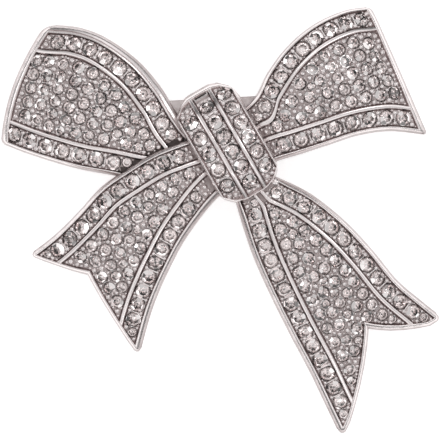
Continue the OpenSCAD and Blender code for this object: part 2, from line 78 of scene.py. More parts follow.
# Section rows of the four ribbons, from the knot outwards: station, edge A x and y, edge B x and y as
# shares of the half sizes, height at A, height at B and bulge as shares of the depth.
# Rims: widths at A, at B and at the end. How far the end bows back at A and at B, its corners' radii,
# its notch (station, share of the width, fullness at A and B) and the stations it reaches at A and B.
# A border row: edge, first station, last station, stones. A field row: first and last station, first
# and last share of the field's width, stones.
ribbons = {
    "leftLoop": {
        "rows": [
            (0.00, -0.138, 0.411, -0.252, 0.178, 0.62, 0.60, 0.02),
            (0.12, -0.202, 0.505, -0.367, 0.185, 0.63, 0.60, 0.03),
            (0.27, -0.275, 0.624, -0.505, 0.213, 0.64, 0.58, 0.05),
            (0.45, -0.381, 0.748, -0.651, 0.241, 0.60, 0.54, 0.09),
            (0.65, -0.528, 0.855, -0.803, 0.285, 0.52, 0.46, 0.12),
            (0.80, -0.651, 0.903, -0.908, 0.321, 0.42, 0.37, 0.12),
            (0.93, -0.777, 0.918, -1.000, 0.358, 0.30, 0.28, 0.10),
            (1.00, -0.840, 0.927, -1.053, 0.379, 0.25, 0.24, 0.09)],
        "rims": (1.15, 0.50, 1.00), "endBow": (0.9, 1.2), "corners": (1.3, 0.7), "notch": (1, 0.5, 1, 1),
        "reach": (1, 1),
        "borders": [(0, 0.155, 0.865, 9), (1, 0.285, 0.885, 7)],
        "field": [
            (0.930, 0.872, 0.02, 0.97, 5), (0.868, 0.795, 0.00, 0.97, 5), (0.790, 0.715, 0.04, 1.00, 6),
            (0.705, 0.640, 0.02, 0.84, 5), (0.622, 0.560, 0.00, 0.97, 5), (0.538, 0.485, 0.04, 0.97, 5),
            (0.458, 0.400, 0.05, 0.97, 4), (0.380, 0.362, 0.10, 0.44, 2), (0.298, 0.274, 0.06, 0.98, 3),
            (0.218, 0.218, 0.10, 0.10, 1)],
        "stones": "left_loop_stones"},
    "rightLoop": {
        "rows": [
            (0.00, 0.193, 0.243, 0.092, 0.505, 0.61, 0.60, 0.02),
            (0.12, 0.266, 0.278, 0.165, 0.579, 0.62, 0.63, 0.04),
            (0.25, 0.358, 0.306, 0.220, 0.689, 0.61, 0.64, 0.06),
            (0.43, 0.495, 0.351, 0.312, 0.813, 0.58, 0.61, 0.09),
            (0.62, 0.633, 0.397, 0.431, 0.914, 0.51, 0.54, 0.12),
            (0.81, 0.780, 0.419, 0.569, 0.980, 0.40, 0.42, 0.12),
            (1.00, 0.947, 0.404, 0.688, 1.002, 0.25, 0.25, 0.09)],
        "rims": (0.55, 0.50, 0.90), "endBow": (0, 0), "corners": (0.5, 0.9), "notch": (1.015, 0.5, 1, 1),
        "reach": (1.012, 1.017),
        "borders": [(0, 0.186, 0.912, 8), (1, 0.15, 0.90, 9)],
        "field": [
            (0.885, 0.919, 0.92, 0.07, 5), (0.790, 0.835, 0.98, 0.03, 5), (0.700, 0.745, 0.96, 0.03, 5),
            (0.610, 0.655, 1.00, 0.02, 5), (0.515, 0.560, 0.97, 0.02, 4), (0.410, 0.460, 0.93, 0.00, 3),
            (0.325, 0.345, 0.80, 0.02, 2), (0.255, 0.255, 0.55, 0.55, 1), (0.185, 0.185, 0.00, 0.00, 1)],
        "stones": "right_loop_stones"},
    "leftTail": {
        "rows": [
            (0.00, -0.092, 0.393, 0.037, 0.150, 0.68, 0.66, 0.02),
            (0.11, -0.193, 0.357, -0.032, 0.084, 0.71, 0.68, 0.03),
            (0.25, -0.312, 0.308, -0.110, -0.016, 0.72, 0.66, 0.04),
            (0.385, -0.431, 0.234, -0.172, -0.110, 0.68, 0.61, 0.06),
            (0.53, -0.546, 0.152, -0.229, -0.220, 0.60, 0.53, 0.08),
            (0.68, -0.651, 0.037, -0.280, -0.332, 0.49, 0.44, 0.09),
            (0.83, -0.761, -0.072, -0.323, -0.449, 0.37, 0.34, 0.08),
            (1.00, -0.872, -0.159, -0.372, -0.626, 0.23, 0.22, 0.06)],
        "rims": (0.60, 0.80, 0.60), "endBow": (0, 0), "corners": (1.0, 1.0), "notch": (0.876, 0.40, 1, 1.3),
        "reach": (1.018, 1.012),
        "borders": [(0, 0.139, 0.88, 10), (1, 0.245, 0.898, 9)],
        "field": [
            (0.140, 0.828, 0.00, 0.00, 10), (0.265, 0.265, 0.85, 0.85, 1), (0.412, 0.796, 0.44, 0.26, 6),
            (0.360, 0.882, 1.00, 0.99, 8), (0.600, 0.838, 0.63, 0.55, 4), (0.855, 0.855, 0.77, 0.77, 1)],
        "stones": "left_tail_stones"},
    "rightTail": {
        "rows": [
            (0.00, 0.055, 0.159, 0.202, 0.224, 0.64, 0.66, 0.01),
            (0.085, 0.083, 0.047, 0.294, 0.185, 0.65, 0.66, 0.03),
            (0.23, 0.147, -0.154, 0.427, 0.114, 0.64, 0.64, 0.06),
            (0.395, 0.225, -0.336, 0.573, -0.005, 0.60, 0.60, 0.09),
            (0.57, 0.321, -0.533, 0.697, -0.138, 0.52, 0.53, 0.10),
            (0.74, 0.417, -0.717, 0.817, -0.285, 0.42, 0.44, 0.10),
            (0.89, 0.500, -0.893, 0.936, -0.388, 0.31, 0.32, 0.08),
            (1.00, 0.560, -1.019, 1.023, -0.458, 0.23, 0.23, 0.06)],
        "rims": (0.75, 0.65, 0.75), "endBow": (0, 0), "corners": (1.6, 2.2),
        "notch": (0.787, 0.585, 1.3, 1.12), "reach": (1.014, 1.034),
        "borders": [(0, 0.133, 0.902, 14), (1, 0.167, 0.882, 11)],
        "field": [
            (0.176, 0.845, 0.01, 0.03, 12), (0.250, 0.790, 1.00, 0.97, 10), (0.335, 0.335, 0.50, 0.50, 1),
            (0.405, 0.405, 0.47, 0.47, 1), (0.475, 0.480, 0.33, 0.66, 2), (0.548, 0.552, 0.32, 0.67, 2),
            (0.634, 0.622, 0.27, 0.745, 3), (0.688, 0.688, 0.26, 0.74, 3), (0.755, 0.750, 0.24, 0.76, 3)],
        "stones": "right_tail_stones"},
}

# Knot strap: place and size, its arch from curl to foot (station, height at the edges, bulge as shares
# of the depth) and its rows of stones (place across, first station, last station, stones)
knotStrap = {
    "centre": (0.033, 0.359), "width": 8.55, "length": 15.1, "lean": 30,
    "topCorner": 3.1, "footCorner": 3.3, "samples": 401,
    "cap": 0.7,  # rim at its upper end
    "worn": 0.72,  # its dullness and painted shade are scaled down, so it reads lighter than the ribbons
    "arch": [
        (0.00, 0.56, 0.02), (0.08, 0.66, 0.04), (0.20, 0.78, 0.07), (0.36, 0.85, 0.095),
        (0.55, 0.87, 0.10), (0.74, 0.84, 0.09), (0.88, 0.77, 0.06), (1.00, 0.68, 0.03)],
    "stoneRows": [(-1, 0.21, 0.81, 5), (0, 0.16, 0.87, 6), (1, 0.137, 0.820, 6)],
}

# Stones: the two sizes that are charted, those that fill the gaps, and how they sit
stoneSet = {
    "big": 1.8,
    "small": 1.5,
    "gap": 0.1,
    "fill": 0.6,  # share of the ring round a seat that the glass fills
    "least": 0.5,  # least and most radius of the stones that fill the gaps of a field
    "most": 0.72,
    "reach": 0.9,  # most that their middles are away from a charted stone
    "seatRing": 0.1,  # most that a seat's hole is wider than its stone
    "ringGap": 0.016,  # least metal between two holes
    "seatSides": 20,
    "lean": 5.0,  # most that a stone leans in its seat, in degrees
    "stray": 0.02,  # most that it sits off its middle
    "glint": 0.66,  # draw over which a crown facet is given the foil's mirror as a painted glint
    "seed": 7,
}


# The curves through the section rows

def mix(a, b, t):
    return a + (b - a) * t


def smoothStep(t):
    k = np.clip(t, 0, 1)
    return k * k * (3 - 2 * k)


def unit(a):
    return a / np.linalg.norm(a, axis=-1, keepdims=True)


def rowValue(rows, column, s):
    stations = rows[:, 0]
    values = rows[:, column]
    last = len(stations) - 1
    before = np.clip(np.arange(last + 1) - 1, 0, last)
    after = np.clip(np.arange(last + 1) + 1, 0, last)
    slopes = (values[after] - values[before]) / (stations[after] - stations[before])
    i = np.clip(np.searchsorted(stations, s, side="right") - 1, 0, last - 1)
    h = stations[i + 1] - stations[i]
    t = (s - stations[i]) / h
    rise = t * t * (3 - 2 * t)
    ease = h * t * (1 - t) * ((1 - t) * slopes[i] - t * slopes[i + 1])
    return values[i] * (1 - rise) + values[i + 1] * rise + ease


def edgePoint(rows, side, s):
    x = rowValue(rows, 1 + 2 * side, s) * cast["halfWidth"]
    y = rowValue(rows, 2 + 2 * side, s) * cast["halfHeight"]
    return np.stack([x, y], axis=-1)


def rowWidth(rows, s):
    return np.linalg.norm(edgePoint(rows, 1, s) - edgePoint(rows, 0, s), axis=-1)


def girdlePoint(rows, s, v):
    s, v = np.broadcast_arrays(np.asarray(s, float), np.asarray(v, float))
    flat = mix(edgePoint(rows, 0, s), edgePoint(rows, 1, s), v[..., None])
    rise = mix(rowValue(rows, 5, s), rowValue(rows, 6, s), v) + rowValue(rows, 7, s) * 4 * v * (1 - v)
    return np.concatenate([flat, rise[..., None] * cast["depth"]], axis=-1)


def girdleFrame(rows, s, v):
    along = unit(girdlePoint(rows, s + nudge, v) - girdlePoint(rows, s - nudge, v))
    slope = girdlePoint(rows, s, v + nudge) - girdlePoint(rows, s, v - nudge)
    normal = unit(np.cross(along, slope))
    return along, np.cross(normal, along), normal


def slant(rows, side, s):  # how much longer a distance gets along a row that meets the edge at a slant
    tangent = unit(edgePoint(rows, side, s + nudge) - edgePoint(rows, side, s - nudge))
    row = unit(edgePoint(rows, 1, s) - edgePoint(rows, 0, s))
    return np.minimum(1 / np.abs(tangent[..., 0] * row[..., 1] - tangent[..., 1] * row[..., 0]), mostSlant)


def cornerCut(d, radius):
    near = np.minimum(d, radius)
    return radius - np.sqrt(np.maximum(radius ** 2 - (radius - near) ** 2, 0))


# A strap is a ribbon or the knot: its rows, its rims and where it starts and ends across its width

def ribbonStrap(values):
    rows = np.array(values["rows"])
    middle = [mix(edgePoint(rows, 0, s), edgePoint(rows, 1, s), 0.5) for s in (0.0, 0.5, 1.0)]
    length = np.linalg.norm(middle[0] - middle[1]) + np.linalg.norm(middle[1] - middle[2])
    width = rowWidth(rows, gauge)
    share = np.linspace(0, 1, cast["samples"])
    d = share * width
    notchStation, notchShare, fullA, fullB = values["notch"]
    cutA = np.clip(share / notchShare, 0, 1) ** fullA
    cutB = np.clip((1 - share) / (1 - notchShare), 0, 1) ** fullB
    notch = (mix(*values["reach"], notchShare) - notchStation) * np.where(share < notchShare, cutA, cutB)
    cut = np.where(share < 0.5, *values["endBow"]) * (2 * share - 1) ** 2
    cut = cut + cornerCut(d, values["corners"][0]) + cornerCut(width - d, values["corners"][1])
    end = (mix(*values["reach"], share) - notch) * length - cut
    steep = np.abs(np.diff(end) / np.diff(d))
    steep = np.maximum(np.append(steep, steep[-1]), np.append(steep[0], steep))
    return {
        "rows": rows, "length": length, "rims": values["rims"], "startRim": 0, "foldShare": notchShare,
        "sides": (values["rims"][0] + pitch, values["rims"][1] + pitch), "worn": 1,
        "share": share, "start": share * 0, "end": end / length,
        "skew": np.minimum(np.sqrt(1 + steep ** 2), mostSkew)}


def knotStrapShape(values):
    lean = math.radians(values["lean"])
    axis = np.array([math.sin(lean), -math.cos(lean)]) * values["length"]
    across = np.array([math.cos(lean), math.sin(lean)]) * values["width"] / 2
    half = np.array([cast["halfWidth"], cast["halfHeight"]])
    centre = np.array(values["centre"]) * half
    rows = []
    for station, height, bulge in values["arch"]:
        middle = centre + axis * (station - 0.5)
        edgeA, edgeB = (middle - across) / half, (middle + across) / half
        rows.append((station, *edgeA, *edgeB, height, height, bulge))
    width, length = values["width"], values["length"]
    share = np.linspace(0, 1, values["samples"])
    d = share * width
    start = (cornerCut(d, values["topCorner"]) + cornerCut(width - d, values["topCorner"])) / length
    end = 1 - (cornerCut(d, values["footCorner"]) + cornerCut(width - d, values["footCorner"])) / length
    rim = (width - 3 * cast["channel"] - 2 * cast["rib"]) / 2
    return {
        "rows": np.array(rows), "length": length, "rims": (rim, rim, rim), "startRim": values["cap"],
        "foldShare": 0.5, "sides": (rim, rim), "worn": values["worn"],
        "share": share, "start": start, "end": end, "skew": np.ones_like(share)}


# Lines that run along a strap: where each is measured from (0 edge A, 1 edge B, 2 the field), its
# distance or its place in the field, its lift and whether it belongs to a rim

profile = {
    "flare": 0.08,  # how far the wall stands out under the rim
    "crest": 0.25,
    "bandTop": 0.16,
    "bandEnd": 0.72,  # where the wide band of a grooved rim ends
    "grooveLift": 0.0,
    "ribCrest": 0.19,
    "ribFoot": -0.06,
}


def rimProfile(rim):  # distance in from the edge and lift, from the wall to the inner side
    crest, flare = profile["crest"], profile["flare"]
    wall = [(-flare, -0.72), (-0.4 * flare, -0.45), (0.06, -0.24)]
    if rim > 1:
        top, end, low = profile["bandTop"], profile["bandEnd"], profile["grooveLift"]
        return wall + [
            (0.16, -0.08), (0.32, 0.06), (0.52, 0.9 * top), (end, top), (end + 0.02, low), (end + 0.09, low),
            (rim - 0.30, 0.7 * crest), (rim - 0.22, crest), (rim - 0.08, crest), (rim - 0.02, 0.75 * crest)]
    return wall + [
        (0.20 * rim, -0.08), (0.32 * rim, 0.02), (0.44 * rim, 0.10), (0.55 * rim, 0.16), (0.64 * rim, 0.20),
        (0.72 * rim, 0.235), (0.80 * rim, crest), (0.88 * rim, crest), (0.94 * rim, 0.9 * crest),
        (rim - 0.015, 0.6 * crest)]


def ribProfile():
    c, foot, floor = profile["ribCrest"], profile["ribFoot"], -cast["floorDrop"]
    rise = [(0, floor), (0.01, foot - 0.06), (0.03, foot), (0.06, 0.4 * c), (0.11, 0.85 * c), (0.2, c)]
    fall = [(0.4, c), (0.49, 0.85 * c), (0.54, 0.4 * c), (0.57, foot), (0.59, foot - 0.06), (0.6, floor)]
    return rise + fall


def edgeLines(side, rim):  # a rim and the channel inside it
    floor = -cast["floorDrop"]
    lines = [(side, d, lift, True) for d, lift in rimProfile(rim)]
    return lines + [(side, rim, floor, False), (side, rim + cast["channel"] / 2, floor, False)]


def ribLines(side, first):
    return [(side, first + d, lift, False) for d, lift in ribProfile()]


def ribbonLines(strap):
    rimA, rimB = strap["rims"][:2]
    floor = -cast["floorDrop"]
    spots = [-0.8, -0.5, -0.25, -0.1, -0.03, 0, 0.03, 0.1, 0.25, 0.5, 0.8]
    return (edgeLines(0, rimA) + ribLines(0, rimA + cast["channel"]) + [(2, t, floor, False) for t in spots]
            + (edgeLines(1, rimB) + ribLines(1, rimB + cast["channel"]))[::-1])


def knotLines(strap):
    rim = strap["rims"][0]
    middle = [(0, knotStrap["width"] / 2, -cast["floorDrop"], False)]
    return (edgeLines(0, rim) + ribLines(0, rim + cast["channel"]) + middle
            + ribLines(0, rim + cast["channel"] + pitch) + edgeLines(1, rim)[::-1])


def lineSpots(strap, lines, s):  # distance from edge A of every line at its station, and the row's width
    rows = strap["rows"]
    kind = np.array([line[0] for line in lines])
    value = np.array([line[1] for line in lines])
    s = np.broadcast_to(s, (len(s), len(lines)))
    w = rowWidth(rows, s)
    a, b = slant(rows, 0, s), slant(rows, 1, s)
    sideA, sideB = strap["sides"]
    squeeze = np.minimum(1, (w - cast["fieldLeast"]) / (sideA * a + sideB * b))
    start = sideA * a * squeeze
    stop = w - sideB * b * squeeze
    fold = np.clip((strap["foldShare"] * w - start) / (stop - start), *cast["foldRange"])
    field = np.where(value < 0, fold * (1 + value), fold + (1 - fold) * value)
    fromB = np.where(kind == 1, w - value * b * squeeze, mix(start, stop, field))
    return np.where(kind == 0, value * a * squeeze, fromB), w


def acrossStrap(strap, label, v):
    return np.interp(v, strap["share"], strap[label])


def strapGrid(strap, lines, count):
    atGauge, width = lineSpots(strap, lines, np.full((1, 1), gauge))
    share = (atGauge / width)[0]
    start, end = acrossStrap(strap, "start", share), acrossStrap(strap, "end", share)
    skew = acrossStrap(strap, "skew", share) / strap["length"]
    startRim, endRim = strap["startRim"], strap["rims"][2]
    kind, value, lineLift, isRim = (np.array(column) for column in zip(*lines))
    rimWidth = np.where(kind == 1, strap["rims"][1], strap["rims"][0])
    stations, lifts, walled, progress = [], [], [], []

    def addRow(station, lift, wall, reached):
        stations.append(station)
        lifts.append(lift)
        walled.append(wall)
        progress.append(reached)

    def lipRow(e, wide, station, reached):
        lift = np.full(len(lines), np.interp(e, *zip(*rimProfile(wide))))
        sideFirst = isRim & (value / rimWidth <= e / wide)
        addRow(station, np.where(sideFirst, lineLift, lift), np.ones(len(lines), bool), reached)

    if startRim:
        for e, _ in rimProfile(startRim):
            lipRow(e, startRim, start + e / strap["length"], 0)
    first = start + startRim / strap["length"]
    last = end - endRim * skew
    for i in range(count + 1):
        addRow(mix(first, last, i / count), lineLift, isRim, i / count)
    for e, _ in rimProfile(endRim)[::-1]:
        lipRow(e, endRim, end - e * skew, 1)
    return np.array(stations), np.array(lifts), np.array(walled), np.array(progress)


def newShell():
    return {"points": [], "faces": [], "kinds": [], "soil": [], "count": 0}


def addPart(shell, points, faces, kind, soil):
    first = shell["count"]
    shell["points"].append(np.asarray(points, float))
    shell["faces"].extend([tuple(first + i for i in face) for face in faces])
    shell["kinds"].extend([kind] * len(faces))
    shell["soil"].append(np.broadcast_to(np.asarray(soil, float), (len(points),)))
    shell["count"] += len(points)
    return first


def gridFaces(n, m):
    return [(i * m + j, (i + 1) * m + j, (i + 1) * m + j + 1, i * m + j + 1)
            for i in range(n - 1) for j in range(m - 1)]


# How dull the metal is, and how much painted shade it gets, by its lift over the girdles: heights and
# levels in the channels and on the rims (darker down the walls and channels), then the back, the wall's
# foot, the drop of the plate and its level (darker in the ditches), the painted shade on the plate near a
# strap that lies over it (how much more, reach) and how near it is given the dark seat metal as painted shade
soiling = {
    "channel": ((-0.9, -0.3, -0.12, -0.04, 0.06), (0.9, 0.65, 0.3, 0.1, 0)),
    "rim": ((-0.72, -0.2, 0.08, 0.14), (1.0, 0.85, 0.3, 0.02)),
    "back": 0.6,
    "foot": 0.4,
    "plate": ((0, 0.12, cast["ditch"]), (0.85, 0.9, 0.95)),
    "under": (0.4, 1.2),
    "dark": 0.5,
}


def addStrap(shell, strap, lines, count, sole, skirt):
    stations, lifts, walled, progress = strapGrid(strap, lines, count)
    d, w = lineSpots(strap, lines, stations)
    girdle = girdlePoint(strap["rows"], stations, d / w)
    normal = girdleFrame(strap["rows"], stations, d / w)[2]
    floor = sole(progress)[:, None]
    web = girdle - normal * cast["webDrop"]
    web[..., 2] = np.maximum(web[..., 2], floor + cast["webOver"])
    wall = girdle.copy()
    wall[..., 2] = np.maximum(girdle[..., 2] - skirt, floor)
    back = np.where(walled[..., None], wall, web)
    n, m = lifts.shape
    ring = [(i, 0) for i in range(n)] + [(n - 1, j) for j in range(1, m)]
    ring += [(i, m - 1) for i in range(n - 2, -1, -1)] + [(0, j) for j in range(m - 2, 0, -1)]
    low = np.array([back[i, j] for i, j in ring])
    hem = low.copy()
    hem[:, 2] += cast["hem"]
    nextIn = np.array([back[min(max(i, 1), n - 2), min(max(j, 1), m - 2)] for i, j in ring])
    inward = nextIn - low
    inward[:, 2] = 0
    size = np.linalg.norm(inward, axis=1, keepdims=True)
    low[:, :2] += (inward / np.maximum(size, 1e-9) * np.minimum(size * 0.5, cast["hemIn"]))[:, :2]
    for k, (i, j) in enumerate(ring):
        back[i, j] = low[k]
    front = (girdle + normal * lifts[..., None]).reshape(-1, 3)
    faces = gridFaces(n, m)
    faces += [tuple(n * m + i for i in face[::-1]) for face in faces]
    top = [i * m + j for i, j in ring]
    for k in range(len(ring)):
        following = (k + 1) % len(ring)
        a, b = top[k], top[following]
        c, e = 2 * n * m + k, 2 * n * m + following
        faces += [(a, c, e, b), (c, n * m + a, n * m + b, e)]
    # Dullness with painted shade: darker the lower the metal lies, down the walls and in the channels
    soil = np.where(walled, np.interp(lifts, *soiling["rim"]), np.interp(lifts, *soiling["channel"]))
    soil = np.concatenate([(soil * strap["worn"]).ravel(), np.full(n * m, soiling["back"]),
                           np.full(len(hem), soiling["foot"])])
    addPart(shell, np.concatenate([front, back.reshape(-1, 3), hem]), faces, 0, soil)


# Seats of the stones: point of the girdle plane, directions along, across and up, and radius

def seatList(strap, spots, size):
    seats = []
    for s, v in spots:
        along, across, up = girdleFrame(strap["rows"], s, v)
        seats.append({"at": girdlePoint(strap["rows"], s, v), "along": along, "across": across, "up": up,
                      "radius": size / 2, "s": s, "v": v})
    return seats


def borderSpots(strap, border):
    side, first, last, count = border

    def place(s):
        d = strap["rims"][side] + cast["channel"] / 2
        d = d / rowWidth(strap["rows"], s) * slant(strap["rows"], side, s)
        return d if side == 0 else 1 - d

    s = np.linspace(first, last, 41)
    points = girdlePoint(strap["rows"], s, place(s))
    walked = np.append(0, np.cumsum(np.linalg.norm(np.diff(points, axis=0), axis=1)))
    spot = np.interp(np.linspace(0, walked[-1], count), walked, s)
    return list(zip(spot, place(spot)))


def fieldSpots(strap, row):
    first, last, shareFirst, shareLast, count = row
    t = np.linspace(0, 1, count)
    s = mix(first, last, t)
    w = rowWidth(strap["rows"], s)
    clear = stoneSet["small"] / 2 + stoneSet["gap"]
    low = (strap["sides"][0] + clear) * slant(strap["rows"], 0, s)
    high = w - (strap["sides"][1] + clear) * slant(strap["rows"], 1, s)
    return list(zip(s, mix(low, high, mix(shareFirst, shareLast, t)) / w))


# The face of the metal between the stones, with a cup for each stone lined with the dark seat metal as
# painted shade

plate = {
    "inset": 0.08,  # how far it reaches under rims and ribs
    "grid": (42, 30),  # points along and across
    "ditchStep": (0.22, 0.2),  # spacing of the points beside ribs and beside the end
    "fromBorder": 0.08,  # how clear of the border and of a seat's hole a point stays
    "fromSeat": 0.05,
    "besideRib": 0.04,
    "outline": (121, 61, 13),  # stations along its sides, far end and near end
    "holeShare": 0.995,
}
cup = {"mouth": 0.42, "low": 0.62, "lowWide": 0.7, "tip": 0.97}  # first in mm, the others times the radius


def insideLoop(points, loop):
    x, y = points[:, 0:1], points[:, 1:2]
    x1, y1 = loop[:, 0], loop[:, 1]
    x2, y2 = np.roll(x1, -1), np.roll(y1, -1)
    crosses = (y1 > y) != (y2 > y)
    safe = np.where(y2 == y1, 1, y2 - y1)
    hits = crosses & (x < (x2 - x1) * (y - y1) / safe + x1)
    return hits.sum(axis=1) % 2 == 1


def plateOutline(strap, inset):
    rimA, rimB, rimEnd = strap["rims"]
    rows, length = strap["rows"], strap["length"]
    along, far, near = plate["outline"]
    s = np.linspace(0, 1, along)
    w = rowWidth(rows, s)
    vA = (rimA - inset) * slant(rows, 0, s) / w
    vB = 1 - (rimB - inset) * slant(rows, 1, s) / w

    def startAt(v):
        return acrossStrap(strap, "start", v) + max(strap["startRim"] - inset, 0) / length

    def endAt(v):
        e = (rimEnd - inset) * acrossStrap(strap, "skew", v) / length
        return acrossStrap(strap, "end", v) - e

    sideA, sideB = ([(a, b) for a, b, low, high in zip(s, v, startAt(v), endAt(v)) if low < a < high]
                    for v in (vA, vB))
    v = np.linspace(sideA[-1][1], sideB[-1][1], far)[1:-1]
    farSide = list(zip(endAt(v), v))
    v = np.linspace(sideA[0][1], sideB[0][1], near)[1:-1]
    nearSide = list(zip(startAt(v), v))
    return np.array(sideA + farSide + sideB[::-1] + nearSide[::-1])


def wallDistance(strap, s, v):  # to the nearest rim or rib, less than nothing inside one
    w = rowWidth(strap["rows"], s)
    toEnd = (acrossStrap(strap, "end", v) - s) * strap["length"] / acrossStrap(strap, "skew", v)
    toStart = (s - acrossStrap(strap, "start", v)) * strap["length"]
    inA = v * w / slant(strap["rows"], 0, s) - strap["rims"][0]
    inB = (1 - v) * w / slant(strap["rows"], 1, s) - strap["rims"][1]
    ribMiddle = cast["channel"] + cast["rib"] / 2
    near = np.minimum(np.minimum(inA, inB), toEnd - strap["rims"][2])
    for inside in (inA, inB):
        near = np.minimum(near, np.abs(inside - ribMiddle) - cast["rib"] / 2)
    return np.minimum(near, toStart - strap["startRim"]) if strap["startRim"] else near


def plateLift(strap, s, v):
    deep = 1 - smoothStep(np.maximum(wallDistance(strap, s, v), 0) / cast["ditchWidth"])
    return -cast["plateDrop"] - cast["ditch"] * deep


def ringSizes(seats):  # radius of each seat's hole, as wide as its neighbours leave room for
    at = np.array([seat["at"] for seat in seats])
    r = np.array([seat["radius"] for seat in seats])
    gap = np.linalg.norm(at[:, None] - at[None], axis=2) - r[:, None] - r[None] + np.eye(len(r)) * farAway
    return r + np.clip((gap.min(axis=1) - stoneSet["ringGap"]) / 2, 0, stoneSet["seatRing"])


def ditchSpots(strap):  # points along the rims and ribs, where the plate starts to dip
    rimA, rimB, rimEnd = strap["rims"]
    rows = strap["rows"]
    first, wide, rib, beside = cast["ditchWidth"], cast["channel"], cast["rib"], plate["besideRib"]
    s = np.linspace(0, 1, int(strap["length"] / plate["ditchStep"][0]))
    w = rowWidth(rows, s)
    spots = []
    for step in (first, wide - first, wide + beside, wide + rib - beside, wide + rib + first):
        spots += list(zip(s, (rimA + step) * slant(rows, 0, s) / w))
        spots += list(zip(s, 1 - (rimB + step) * slant(rows, 1, s) / w))
    v = np.linspace(0, 1, int(w[-1] / plate["ditchStep"][1]))
    e = (rimEnd + first) * acrossStrap(strap, "skew", v) / strap["length"]
    spots += list(zip(acrossStrap(strap, "end", v) - e, v))
    if strap["startRim"]:
        e = (strap["startRim"] + first) / strap["length"]
        spots += list(zip(acrossStrap(strap, "start", v) + e, v))
    return np.array(spots)


def seatHoles(strap, seats, sizes, circle):  # ring of points on the plate round each seat, and their lifts
    rings, lifts = [], []
    rows = strap["rows"]
    for seat, r in zip(seats, sizes):
        flat = r * (circle[0] * seat["along"] + circle[1] * seat["across"])
        s, v = seat["s"], seat["v"]
        alongStep = girdlePoint(rows, s + nudge, v) - girdlePoint(rows, s - nudge, v)
        acrossStep = girdlePoint(rows, s, v + nudge) - girdlePoint(rows, s, v - nudge)
        move = flat @ np.linalg.pinv(np.stack([alongStep, acrossStep]) / (2 * nudge))
        lift = plateLift(strap, s + move[:, 0], v + move[:, 1])
        rings.append(seat["at"] + flat + seat["up"] * lift[:, None])
        lifts.append(lift)
    return rings, lifts


def joinPoints(points, lifts, edges):  # triangles over the points that keep the edges
    flat = [Vector((p[0], p[1])) for p in points]
    found, _, triangles, origins = geometry.delaunay_2d_cdt(flat, edges, [], 0, 1e-7, True)[:4]
    source, extra, extraLifts = [], [], []
    for k, origin in enumerate(origins):
        if origin:
            source.append(origin[0])
            continue
        near = int(np.linalg.norm(points[:, :2] - np.array(found[k]), axis=1).argmin())
        source.append(len(points) + len(extra))
        extra.append((found[k][0], found[k][1], points[near, 2]))
        extraLifts.append(lifts[near])
    if extra:
        points = np.concatenate([points, np.array(extra)])
        lifts = np.append(lifts, extraLifts)
    return points, lifts, [tuple(source[i] for i in triangle) for triangle in triangles]


def toLoops(points, loops):  # how near each point is to the nearest of the loops, seen from above
    near = np.full(len(points), farAway)
    for loop in loops:
        near = np.minimum(near, np.linalg.norm(points[:, None, :2] - loop[None], axis=2).min(axis=1))
    return near


